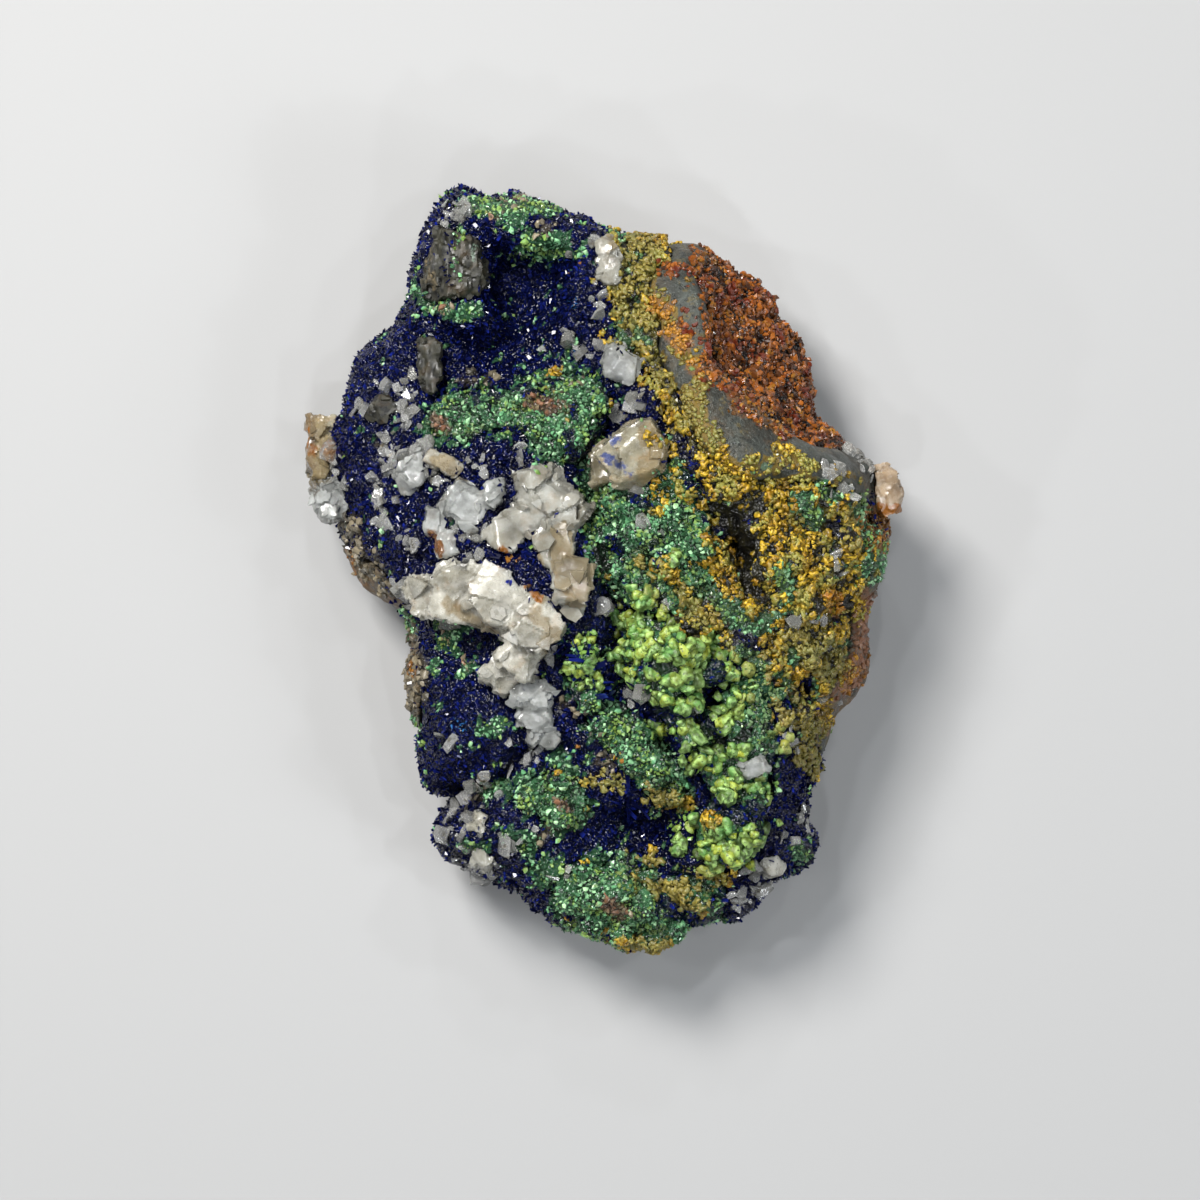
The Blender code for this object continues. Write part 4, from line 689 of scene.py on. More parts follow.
# ---- Finishes of the separate crystals ----
def crystal_finish(f, light, dark, clear, veil, gloss, glow, rusty):
    """Cloudy crystal: milky veils, a shade of its own for every facet, and the stains of its neighbours."""
    veils, facet = f.speckle(veil, 0.34, 0.66, 5.0), f.attribute("tint")
    share = f.math("ADD", f.math("MULTIPLY", veils, 0.58), f.math("MULTIPLY", facet, 0.42))
    colour = f.mix(share, dark, light)
    colour = f.stain(colour, "tan", (0.27, 0.205, 0.105), 1.4, 0.75)
    colour = f.mix(f.math("MULTIPLY", f.speckle(2.4, 0.54, 0.66, 5.0), rusty), colour, (0.40, 0.22, 0.08))
    colour = f.stain(colour, "earth", (0.16, 0.11, 0.06), 1.0, 0.7)
    colour = f.stain(colour, "orange", (0.27, 0.095, 0.008), 1.2, 0.95)
    colour = f.stain(colour, "azure", (0.015, 0.045, 0.22), 0.35, 0.85)
    colour = f.stain(colour, "vein", (0.24, 0.36, 0.27), 0.3, 0.75)
    return f.finish(
        Base_Color=f.hollow(colour, 0.55),
        Roughness=f.span(f.speckle(0.8), *gloss),
        IOR=1.57,
        Specular_IOR_Level=0.42,
        Transmission_Weight=clear,
        Subsurface_Weight=glow,
        Subsurface_Radius=(1.0, 0.95, 0.85),
        Subsurface_Scale=3.0 * MM,
        Normal=f.skin(0.9, 0.10, 0.6, 6.0),
    )


SPARS = {  # light, dark, clearness, size of the veils in mm, least and most roughness, glow, share of rust
    "milky spar": ((0.66, 0.64, 0.56), (0.27, 0.255, 0.20), 0.28, 2.0, (0.18, 0.46), 0.5, 0.22),
    "cloudy spar": ((0.52, 0.52, 0.47), (0.24, 0.22, 0.165), 0.32, 1.8, (0.05, 0.22), 0.3, 0.15),
    "clear spar": ((0.78, 0.80, 0.77), (0.30, 0.31, 0.29), 0.60, 1.6, (0.04, 0.20), 0.1, 0.12),
    "stained spar": ((0.41, 0.385, 0.285), (0.16, 0.13, 0.075), 0.25, 2.4, (0.08, 0.30), 0.4, 0.30),
    "peach spar": ((0.47, 0.37, 0.26), (0.29, 0.19, 0.105), 0.15, 3.0, (0.10, 0.36), 0.15, 0.35),
    "smoky quartz": ((0.038, 0.036, 0.022), (0.002, 0.002, 0.003), 0.05, 0.8, (0.38, 0.60), 0.0, 0.05),
}


def spar(kind):
    """The finish of one kind of crystal, to be called as the grains' finishes are."""
    return lambda settings: bpy.data.materials.get(kind) or crystal_finish(Finish(kind), *SPARS[kind])


# ---- Grain shapes, of unit size ----
def object_from(bm, name, smooth=False):
    mesh = bpy.data.meshes.new(name)
    bm.to_mesh(mesh)
    bm.free()
    mesh.polygons.foreach_set("use_smooth", [smooth] * len(mesh.polygons))
    obj = bpy.data.objects.new(name, mesh)
    bpy.context.scene.collection.objects.link(obj)
    return obj


def slice_off(bm, point, away):
    """Cuts a convex shape with a plane and closes it again."""
    geometry = [*bm.verts, *bm.edges, *bm.faces]
    cut = bmesh.ops.bisect_plane(bm, geom=geometry, plane_co=point, plane_no=away, clear_outer=True)
    rim = [item for item in cut["geom_cut"] if isinstance(item, bmesh.types.BMEdge)]
    bmesh.ops.edgeloop_fill(bm, edges=rim)


def blade_shape(width, thickness, edge, skew):
    """A flat blade with a chisel edge, its foot below the surface."""
    bm = bmesh.new()
    bmesh.ops.create_cube(bm, size=1.0)
    for vert in bm.verts:
        if vert.co.z > 0:
            vert.co = Vector((vert.co.x * edge * width + skew, 0, 0.4))
        else:
            vert.co = Vector((vert.co.x * width, vert.co.y * thickness, -0.4))
    bmesh.ops.remove_doubles(bm, verts=bm.verts, dist=0.01)
    bmesh.ops.recalc_face_normals(bm, faces=bm.faces)
    bmesh.ops.translate(bm, vec=(0, 0, 0.16), verts=bm.verts)
    return tipped(object_from(bm, "blade"), 0.52)


def tipped(obj, tip, brightest=1.0):
    """Marks how near each point is to the height of its grain's tip, as painted light: shaded at the foot, bright at
    the tip.
    """
    heights, foot = vertex_array(obj.data)[:, 2], -0.1
    store(obj.data, "painted_crest_light", np.clip((heights - foot) / (tip - foot), 0, 1) * brightest)
    return obj


def tuft_shape(seed):
    """Four thin needles that fan out from one foot."""
    rng = np.random.default_rng(seed)
    bm = bmesh.new()
    for _ in range(4):
        turn = Matrix.Rotation(rng.uniform(0, math.tau), 4, "Z") @ Matrix.Rotation(rng.uniform(0.1, 1.2), 4, "X")
        length = rng.uniform(0.6, 1.2)
        place = turn @ Matrix.Translation((0, 0, length / 2 - 0.2))
        bmesh.ops.create_cone(
            bm, segments=3, cap_ends=True, radius1=rng.uniform(0.17, 0.30), radius2=0, depth=length, matrix=place
        )
    return tipped(object_from(bm, "tuft"), 0.9, rng.uniform(0.6, 1.0))


def lump_shape(subdivisions, rough, flat, seed, smooth=True, radius=1.0):
    """A lumpy grain, sunk a third into what carries it, with painted light: brighter on its swells and top, shaded in
    its creases.
    """
    bm = bmesh.new()
    bmesh.ops.create_icosphere(bm, subdivisions=subdivisions, radius=radius)
    bm.verts.ensure_lookup_table()
    swells = [noise.noise(vert.co / radius * 1.5 + Vector((seed * 3.1, 0, 0))) for vert in bm.verts]
    for vert, swell in zip(bm.verts, swells):
        vert.co = Vector((vert.co.x, vert.co.y, vert.co.z * flat)) * (1 + rough * swell)
    bmesh.ops.translate(bm, vec=(0, 0, 0.3 * flat * radius), verts=bm.verts)
    # painted light: brighter on swells and towards the top
    painted_crest_lights = [0.5 + swell + 0.35 * vert.co.z / radius for vert, swell in zip(bm.verts, swells)]
    obj = object_from(bm, "lump", smooth)
    store(obj.data, "painted_crest_light", np.clip(painted_crest_lights, 0, 1))
    return obj


def lobe_shape(seed):
    """A round lobe with three pits pressed into its top, with painted light: pale on its top and rims, shaded in its
    pits.
    """
    rng = np.random.default_rng(seed)
    bm = bmesh.new()
    bmesh.ops.create_icosphere(bm, subdivisions=2, radius=1.0)
    pits = [Vector((*rng.uniform(-0.7, 0.7, 2), 0.75)).normalized() for _ in range(3)]
    painted_crest_lights = []
    for vert in bm.verts:
        way = vert.co.normalized()
        near = min((way - pit).length for pit in pits)
        dent = max(0.0, 1 - near / 0.55)
        swell = noise.noise(way * 1.4 + Vector((seed * 2.3, 0, 0)))
        vert.co = Vector((way.x, way.y, way.z * 0.8)) * (1 + 0.6 * swell - 0.42 * dent)
        # painted light: brighter on the top and swells, painted shade in the pits
        painted_crest_lights.append(min(1.0, max(0.0, 0.15 + 0.75 * max(way.z, 0) + 0.5 * swell - 1.3 * dent)))
    bmesh.ops.translate(bm, vec=(0, 0, 0.25), verts=bm.verts)
    obj = object_from(bm, "lobe", True)
    store(obj.data, "painted_crest_light", painted_crest_lights)
    return obj


def chip_shape(width, thickness, seed):
    """A blunt piece of crystal with cut corners."""
    rng = np.random.default_rng(seed)
    bm = bmesh.new()
    bmesh.ops.create_cube(bm, size=1.0)
    bmesh.ops.scale(bm, vec=(width, thickness, 0.9), verts=bm.verts)
    for _ in range(4):
        away = Vector(rng.uniform((-1, -1, 0), (1, 1, 1))).normalized()
        reach = max(away.dot(vert.co) for vert in bm.verts)
        slice_off(bm, away * reach * 0.74, away)
    bmesh.ops.recalc_face_normals(bm, faces=bm.faces)
    bmesh.ops.translate(bm, vec=(0, 0, 0.15), verts=bm.verts)
    return object_from(bm, "chip")


def flake_shape(seed, thickness=0.08):
    """A thin cleavage plate with a broken outline and a sloping top."""
    rng, sides = np.random.default_rng(seed), 6
    bm = bmesh.new()
    bmesh.ops.create_cone(bm, cap_ends=True, segments=sides, radius1=0.5, radius2=0.46, depth=thickness)
    reach = rng.uniform(0.5, 1.2, sides)
    squeeze, slope = rng.uniform(0.55, 1.0), rng.uniform(-0.25, 0.25)
    for number, vert in enumerate(sorted(bm.verts, key=lambda vert: math.atan2(vert.co.y, vert.co.x))):
        x, y, z = vert.co
        pull = reach[number // 2]
        vert.co = Vector((x * pull, y * pull * squeeze, z + slope * x * (z > 0)))
    bmesh.ops.recalc_face_normals(bm, faces=bm.faces)
    bmesh.ops.translate(bm, vec=(0, 0, 0.12), verts=bm.verts)
    return object_from(bm, "flake")


BLADES = ((0.50, 0.22, 0.75, 0.06), (0.42, 0.26, 0.6, -0.08), (0.60, 0.20, 0.8, 0.10), (0.36, 0.24, 0.6, 0.0))
SPIKES = ((0.15, 0.09, 0.7, 0.05), (0.20, 0.08, 0.8, -0.06))


def blades():
    return [blade_shape(*sizes) for sizes in BLADES]


def spikes():
    return [blade_shape(*sizes) for sizes in SPIKES]


def tufts():
    burrs = [lump_shape(1, 1.2, 0.9, seed, False, 0.46) for seed in (21, 22, 23)]
    return [tuft_shape(1), tuft_shape(2), *burrs]


def buttons():
    return [lobe_shape(seed) for seed in (4, 5, 6, 11)]


def lumps():
    return [lump_shape(2, 1.3, 0.78, seed) for seed in (7, 8, 9, 14)]


def grit():
    return [lump_shape(1, 1.0, 0.85, seed) for seed in (7, 8, 9)]


def crumbs():
    return [lump_shape(1, 1.0, 0.8, seed, False) for seed in (1, 2, 3)]


def chips():
    return [chip_shape(0.8, 0.5, 1), *(flake_shape(seed, 0.14) for seed in (3, 4, 5, 6, 12))]


def flakes():
    return [flake_shape(seed) for seed in (7, 8, 9, 10, 11)]


# ---- The cover: grains or blades spread over a crust ----
COVER_INPUTS = (
    ("Grains", "Collection"),
    ("Spread", "String"),
    ("Spacing", "Float"),
    ("Density", "Float"),
    ("Smallest", "Float"),
    ("Largest", "Float"),
    ("Lean", "Float"),
    ("Seed", "Int"),
    ("Finish", "Material"),
)


def cover_tree():
    """Spreads one family of grains where a named attribute lets it, each with its own tint."""
    tree = bpy.data.node_groups.get("Grain cover")
    if tree:
        return tree
    tree = bpy.data.node_groups.new("Grain cover", "GeometryNodeTree")
    for label, kind in (("Geometry", "Geometry"), *COVER_INPUTS):
        tree.interface.new_socket(label, in_out="INPUT", socket_type="NodeSocket" + kind)
    tree.interface.new_socket("Geometry", in_out="OUTPUT", socket_type="NodeSocketGeometry")
    n = Nodes(tree)
    given = n.node("NodeGroupInput").outputs
    spread = n.node("GeometryNodeInputNamedAttribute", {"Name": given["Spread"]}, data_type="FLOAT")
    where = {
        "Mesh": given["Geometry"],
        "Distance Min": given["Spacing"],
        "Density Max": given["Density"],
        "Density Factor": spread.outputs["Attribute"],
        "Seed": given["Seed"],
    }
    points = n.node("GeometryNodeDistributePointsOnFaces", where, distribute_method="POISSON").outputs

    lean = n.node("FunctionNodeRandomValue", data_type="FLOAT_VECTOR")
    for end, sign in (("Min", -1.0), ("Max", 1.0)):
        amount = n.math("MULTIPLY", given["Lean"], sign)
        corner = n.node("ShaderNodeCombineXYZ", {"X": amount, "Y": amount, "Z": sign * math.pi})
        n.feed(lean.inputs[end], corner.outputs[0])
    turns = {"Rotation": points["Rotation"], "Rotate By": lean.outputs["Value"]}
    turned = n.node("FunctionNodeRotateRotation", turns, rotation_space="LOCAL")

    size = n.node("FunctionNodeRandomValue", {RANDOM_LEAST: given["Smallest"], RANDOM_MOST: given["Largest"]})
    limits = {"Min": (0.7, 0.7, 0.7), "Max": (1.25, 1.25, 1.25), "Seed": 3}
    stretch = n.node("FunctionNodeRandomValue", limits, data_type="FLOAT_VECTOR")
    scales = {0: stretch.outputs["Value"], "Scale": size.outputs[RANDOM_NUMBER]}
    scale = n.node("ShaderNodeVectorMath", scales, operation="SCALE")

    picked = {"Collection": given["Grains"], "Separate Children": True, "Reset Children": True}
    placed = {
        "Points": points["Points"],
        "Instance": n.node("GeometryNodeCollectionInfo", picked).outputs[0],
        "Pick Instance": True,
        "Rotation": turned.outputs[0],
        "Scale": scale.outputs[0],
    }
    grains = n.node("GeometryNodeInstanceOnPoints", placed)
    tint = n.node("FunctionNodeRandomValue", {"Seed": 9}).outputs[RANDOM_NUMBER]
    tinted = {"Geometry": grains.outputs[0], "Name": "tint", "Value": tint}
    stored = n.node("GeometryNodeStoreNamedAttribute", tinted, data_type="FLOAT", domain="INSTANCE")
    real = n.node("GeometryNodeRealizeInstances", {"Geometry": stored.outputs[0]})
    finish = n.node("GeometryNodeSetMaterial", {"Geometry": real.outputs[0], "Material": given["Finish"]})
    n.node("NodeGroupOutput", {0: finish.outputs[0]})
    return tree


def cover(bed, shapes, **values):
    """Grows one family of grains on a bed and gives them as a mesh; the values are the cover's inputs."""
    family = bpy.data.collections.new("family")
    bpy.context.scene.collection.children.link(family)
    for shape in shapes:
        bpy.context.scene.collection.objects.unlink(shape)
        family.objects.link(shape)
    modifier = bed.modifiers.new("cover", "NODES")
    modifier.node_group = cover_tree()
    values["grains"] = family
    for item in modifier.node_group.interface.items_tree:
        if item.in_out == "INPUT" and item.name.lower() in values:
            modifier[item.identifier] = values[item.name.lower()]
    mesh = evaluated_mesh(bed)
    bed.modifiers.clear()
    for shape in shapes:
        bpy.data.objects.remove(shape)
    bpy.data.collections.remove(family)
    return mesh


def joined(bed, meshes):
    """One mesh of a bed and all that grows on it, with every attribute and material kept."""
    parts = [bed]
    for mesh in (mesh for mesh in meshes if mesh.polygons):
        part = bpy.data.objects.new("grown", mesh)
        bpy.context.scene.collection.objects.link(part)
        parts.append(part)
    with bpy.context.temp_override(active_object=bed, selected_editable_objects=parts):
        bpy.ops.object.join()
    return bed


# ---- Surfaces ----
STROKE_FADE = 1.2  # width of a stroke's soft edge, in mm


def evaluated_mesh(obj):
    bpy.context.view_layer.update()
    graph = bpy.context.evaluated_depsgraph_get()
    return bpy.data.meshes.new_from_object(obj.evaluated_get(graph))


def node_copy(name, node):
    """A merged copy of a solid, at its own place."""
    bm = bmesh.new()
    bm.from_mesh(frame["nodes"][node].data)
    bmesh.ops.remove_doubles(bm, verts=bm.verts, dist=0.002 * MM)
    return object_from(bm, name)


def even_out(obj, voxel):
    """Fine even faces in place of the solid's few large ones; the voxel is in millimetres."""
    remesh = obj.modifiers.new("even faces", "REMESH")
    remesh.mode = "VOXEL"
    remesh.voxel_size = voxel * MM
    mesh = evaluated_mesh(obj)
    obj.modifiers.clear()
    obj.data = mesh


def tree_of(nodes):
    bm = bmesh.new()
    for node in nodes:
        bm.from_mesh(frame["nodes"][node].data)
    tree = BVHTree.FromBMesh(bm)
    bm.free()
    return tree


def vertex_array(mesh, what="co"):
    values = np.empty(len(mesh.vertices) * 3, np.float32)
    if what == "co":
        mesh.vertices.foreach_get("co", values)
    else:
        mesh.vertex_normals.foreach_get("vector", values)
    return values.reshape(-1, 3).astype(float)


def store(mesh, name, values):
    layer = mesh.attributes.get(name) or mesh.attributes.new(name, "FLOAT", "POINT")
    layer.data.foreach_set("value", np.asarray(values, np.float32))


def cloud(points, size, seed, octaves=3):
    """Smooth noise from about -1 to 1; the size is in millimetres."""
    shift = Vector((seed * 17.3, seed * 5.1, seed * 2.7))
    return np.array([noise.fractal(Vector(p) / (size * MM) + shift, 0.9, 2.0, octaves) for p in points])


def stroke_strength(points, strokes):
    """How strongly each point lies under the strokes, seen from above: a half at their edge."""
    flat = points[:, :2] / MM
    strength = np.zeros(len(points))
    for radius, power, *path in strokes:
        path = np.reshape(path, (-1, 2))
        nearest = np.full(len(points), np.inf)
        for a, b in zip(path, path[1:]):
            along = np.clip((flat - a) @ (b - a) / max((b - a) @ (b - a), 1e-9), 0, 1)
            nearest = np.minimum(nearest, np.linalg.norm(flat - a - along[:, None] * (b - a), axis=1))
        strength = np.maximum(strength, power * np.clip(0.5 + (radius - nearest) / STROKE_FADE, 0, 1))
    return strength


# ---- How the minerals share a surface; lengths in mm ----
CARRIERS = {
    "blue": ("azurite_crust",),
    "green": tuple(node for node in MALACHITE_NODES if node != "malachite_buttons"),
    "lime": ("malachite_buttons",),
    "ochre": ("limonite_crust",),
    "rust": ("goethite_crust",),
    "bare": ("host_rock",),
}
MARKS = ("pale", "rosy", "olive", "orange", "earth", "bristle", "tan", "vein", "azure")  # these lie over any mineral
OWN_CLAIM, CRYSTAL_CLAIM, LIME_CLAIM = 0.5, 0.62, 0.30
NEIGHBOUR_CLAIM, REACH = 0.56, 2.6  # what a neighbour claims at its edge, and how far that reaches
STRAYS = {  # what a mineral, the second name, claims anywhere on another, the first
    ("green", "blue"): 0.30,
    ("green", "ochre"): 0.18,
    ("blue", "green"): 0.13,
    ("ochre", "green"): 0.24,
    ("ochre", "blue"): 0.12,
    ("lime", "blue"): 0.32,
    ("lime", "green"): 0.20,
}
WANDER, WANDER_SIZE, WANDER_ON_SIDES = 0.6, 1.6, 8  # strays of the strokes, and how much larger on steep sides
JITTER, JITTER_SIZE, FAINT_CLAIM = 0.38, 1.2, 0.12  # noise that breaks up the borders, less on faint claims
BORDER = 0.08  # how far a claim may be behind the best one and still show
UPWARD = 0.65  # added to the normal's Z: strokes are whole on slopes up to 70 degrees and gone on undersides
ON_CRYSTALS = 0.5  # the share of a stroke's strength that counts on crystals


def share_out(mesh, own, points, open_air):
    """Gives every point to one mineral: its own, a near neighbour's, or a stroke's, which fades on steep sides."""
    facing = np.clip(UPWARD + vertex_array(mesh, "normal")[:, 2], 0, 1)
    wander = np.stack([cloud(points, WANDER_SIZE, seed, 2) for seed in (1, 2)], axis=1) * WANDER * MM
    moved = points.copy()
    moved[:, :2] += wander * (1 + WANDER_ON_SIDES * (1 - facing[:, None]))
    crystal = own not in CARRIERS
    contest = {}
    # the dark strokes are painted shade: they claim pits and gaps where nothing grows
    for kind in (*CARRIERS, "dark", *((own,) if crystal else ())):
        base = np.zeros(len(points))
        if kind == own:
            base += CRYSTAL_CLAIM if crystal else LIME_CLAIM if own == "lime" else OWN_CLAIM
        elif kind in CARRIERS:
            tree = tree_of(CARRIERS[kind])
            far = np.array([tree.find_nearest(Vector(p))[3] for p in points]) / MM
            base = np.maximum(NEIGHBOUR_CLAIM * np.clip(1 - far / REACH, 0, 1), STRAYS.get((own, kind), 0))
        drawn = stroke_strength(moved, STROKES.get(kind, ())) * (ON_CRYSTALS if crystal else 1) * facing
        claim = np.maximum(base, drawn)
        jitter = JITTER * cloud(points, JITTER_SIZE, 5 + len(contest), 3)
        contest[kind] = claim + jitter * np.clip(claim / FAINT_CLAIM, 0, 1)
    best = np.max(np.stack(list(contest.values())), axis=0)
    masks = {kind: open_air * np.clip(1 - (best - score) / BORDER, 0, 1) for kind, score in contest.items()}
    masks.update({kind: open_air * facing * stroke_strength(moved, STROKES[kind]) for kind in MARKS})
    for kind, mask in masks.items():
        store(mesh, kind, mask)
    return masks


# ---- The beds; lengths in mm ----
SKIN = 0.08  # rays start this far off the surface
GAP = 0.34  # a neighbour nearer than this covers the surface
HOLLOW_START, HOLLOW_REACH = 0.3, 5  # where the rays that feel for hollows, for the painted shade, start and end
RAYS = [Vector((x, y, 1)).normalized() for x, y in ((1, 0), (-1, 0), (0, 1), (0, -1), (0.4, 0.4), (-0.4, -0.4))]
HOLLOW_SHADE, CREASE_SHADE = 0.7, 0.95  # how much painted shade darkens hollows and low places in the relief
BARE_FOOT, FOOT_FADE = 0.9, 0.6  # nothing grows below the first height, and less over the second above it


def weather(obj, node, swell, rough, smooth=False):
    """Closes the gaps to the neighbours, roughens what faces the air and stores painted shade for its hollows and
    creases.
    """
    neighbours, solids = tree_of(other for other in frame["nodes"] if other != node), tree_of(frame["nodes"])
    mesh = obj.data
    points, normals = vertex_array(mesh), vertex_array(mesh, "normal")
    open_air, painted_occlusion_shade = np.ones(len(points)), np.zeros(len(points))
    for i, (point, normal) in enumerate(zip(points, normals)):
        normal = Vector(normal)
        start = Vector(point) + normal * SKIN * MM
        if neighbours.ray_cast(start, normal, GAP * MM)[0]:
            open_air[i] = 0
            continue
        turn = Vector((0, 0, 1)).rotation_difference(normal)
        start += normal * HOLLOW_START * MM
        painted_occlusion_shade[i] = sum(bool(solids.ray_cast(start, turn @ ray, HOLLOW_REACH * MM)[0]) for ray in RAYS) / len(RAYS)
    relief = np.zeros(len(points))
    for number, (size, height) in enumerate(rough):
        relief += height * cloud(points, size, 30 + number)
    out = swell + relief * open_air
    moved = points + normals * (out * MM)[:, None]
    moved[:, 2] = np.maximum(moved[:, 2], 0)
    mesh.vertices.foreach_set("co", moved.ravel())
    mesh.polygons.foreach_set("use_smooth", [smooth] * len(mesh.polygons))
    mesh.update()
    rise = relief / max(sum(height for _, height in rough), 0.01)
    # painted shade: blocked rays and low relief, for the finishes to darken
    store(mesh, "painted_occlusion_shade", np.clip(HOLLOW_SHADE * painted_occlusion_shade - CREASE_SHADE * rise, 0, 1))
    foot = np.clip((moved[:, 2] / MM - BARE_FOOT) / FOOT_FADE, 0, 1)
    return moved, open_air * foot, rise


def covers_of(settings, own_cover, fine):
    """Rows of (mask, shapes, least distance, most per square metre, smallest, largest, lean, finish), in metres."""
    blade, tuft, button = settings.blade_size, settings.tuft_size, settings.button_size
    lump = settings.ochre_size * (0.78 if fine else 1.0)
    minerals = [
        ("blue", blades, settings.blade_spacing, 9e6, 0.40 * blade, blade, 1.2, azurite_blades),
        ("green", tufts, settings.tuft_spacing, 9e6, 0.40 * tuft, tuft, 0.8, malachite_tufts),
        ("lime", buttons, 0.72 * button, 4.5e6, 0.55 * button, button, 0.5, malachite_buttons),
        ("ochre", grit if fine else lumps, 0.80 * lump, 9e6, 0.40 * lump, lump, 0.5, limonite_lumps),
        ("rust", crumbs, 0.34 * MM, 1.2e7, 0.14 * MM, 0.46 * MM, 0.9, goethite_grains),
    ]
    if own_cover:
        return [*minerals, own_cover]
    return [
        *minerals,
        ("earth", crumbs, 0.45 * MM, 3e6, 0.22 * MM, 0.55 * MM, 0.8, matrix_crumbs),
        ("orange", crumbs, 0.34 * MM, 4e6, 0.14 * MM, 0.36 * MM, 0.8, orange_grains),
        ("rosy", crumbs, 0.45 * MM, 2e6, 0.20 * MM, 0.50 * MM, 0.8, matrix_crumbs),
        ("bristle", spikes, 0.42 * MM, 5e6, 1.6 * MM, 3.6 * MM, 1.2, azurite_blades),
        ("pale", chips, 0.55 * MM, 4.0e6, 0.6 * MM, 2.4 * MM, 0.6, quartz_chips),
    ]


GREEN_IN_OCHRE, GREEN_IN_LIME = 0.7, 0.4  # how much malachite shows in the creases between lumps and lobes
LEDGE, LEDGE_FADE = 0.30, 0.26  # ochre and rust stop this far under the middle of the relief, over this fade
CROWN, CROWN_FADE = 0.16, 0.16  # and so do the lime lobes
THINNED_BY_PALE, THINNED_BY_EARTH = 0.6, 0.5  # how much chips and crumbs thin out the main minerals
NO_SHARE = 0.05  # a mineral with less than this everywhere is left out


def grow(bed, settings, masks, rise, seed, own_cover=None, fine=False):
    """Covers a bed with every mineral that it was given a share of; a fine cover has smaller ochre grains."""
    ledge = np.clip((rise + LEDGE) / LEDGE_FADE, 0, 1)
    crown = np.clip((rise + CROWN) / CROWN_FADE, 0, 1)
    creases = GREEN_IN_OCHRE * (1 - ledge) * masks["ochre"] + GREEN_IN_LIME * (1 - crown) * masks["lime"]
    masks["green"] = np.maximum(masks["green"], creases)
    grown = []
    for number, (kind, shapes, spacing, density, smallest, largest, lean, finish) in enumerate(
        covers_of(settings, own_cover, fine)
    ):
        if masks[kind].max() < NO_SHARE:
            continue
        spread = masks[kind] ** 2 if kind in ("earth", "rosy", "orange", "pale") else masks[kind]
        if kind in ("blue", "green", "ochre"):
            spread = spread * (1 - THINNED_BY_PALE * masks["pale"]) * (1 - THINNED_BY_EARTH * masks["earth"])
        if kind in ("lime", "ochre", "rust") and not own_cover:
            spread = spread * (crown if kind == "lime" else ledge)
        store(bed.data, "spread", spread)
        values = {"spacing": spacing, "density": density, "smallest": smallest, "largest": largest, "lean": lean}
        grown.append(cover(bed, shapes(), spread="spread", seed=seed + number, finish=finish(settings), **values))
    return joined(bed, grown)


def stand_for(obj, node, slot):
    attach(obj, "root")
    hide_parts(node)


# ---- The crusts: (name, mineral, slot, voxel, swell, ((size, height) of the relief, ...), bed, seed), in mm ----
CRUSTS = {
    "host_rock": ("rock", "bare", "host_rock", 0.82, 0.12, ((4.0, 0.30), (1.4, 0.14)), host_rock, 100),
    "azurite_crust": ("azurite_druse", "blue", "azurite", 0.84, 0.20, ((3.0, 0.55), (1.2, 0.30)), azurite_bed, 200),
    "limonite_crust": (
        "limonite_lumps", "ochre", "limonite", 0.45, 0.20, ((2.0, 0.75), (0.9, 0.35)), limonite_bed, 500,
    ),
    "goethite_crust": (
        "goethite_grains", "rust", "goethite", 0.42, 0.20, ((2.2, 0.80), (0.9, 0.40)), goethite_bed, 600,
    ),
    **{
        node: (
            node + "_tufts", "lime" if node == "malachite_buttons" else "green", "malachite", 0.42, 0.20,
            ((2.0, 0.55), (0.8, 0.30)), malachite_bed, 300 + 20 * number,
        )
        for number, node in enumerate(MALACHITE_NODES)
    },
}


def dress(context, node):
    """Makes the visible form of one crust: an even bed, its relief, and the grains on it."""
    name, own, slot, voxel, swell, relief, bed_finish, seed = CRUSTS[node]
    bare = own == "bare"
    settings = context.scene.specimen
    bed = node_copy(name, node)
    even_out(bed, voxel)
    points, open_air, rise = weather(bed, node, swell, relief, bare)
    masks = share_out(bed.data, own, points, open_air)
    bed.data.materials.append(bed_finish(settings))
    grow(bed, settings, masks, rise, seed, fine=bare)
    stand_for(bed, node, slot)


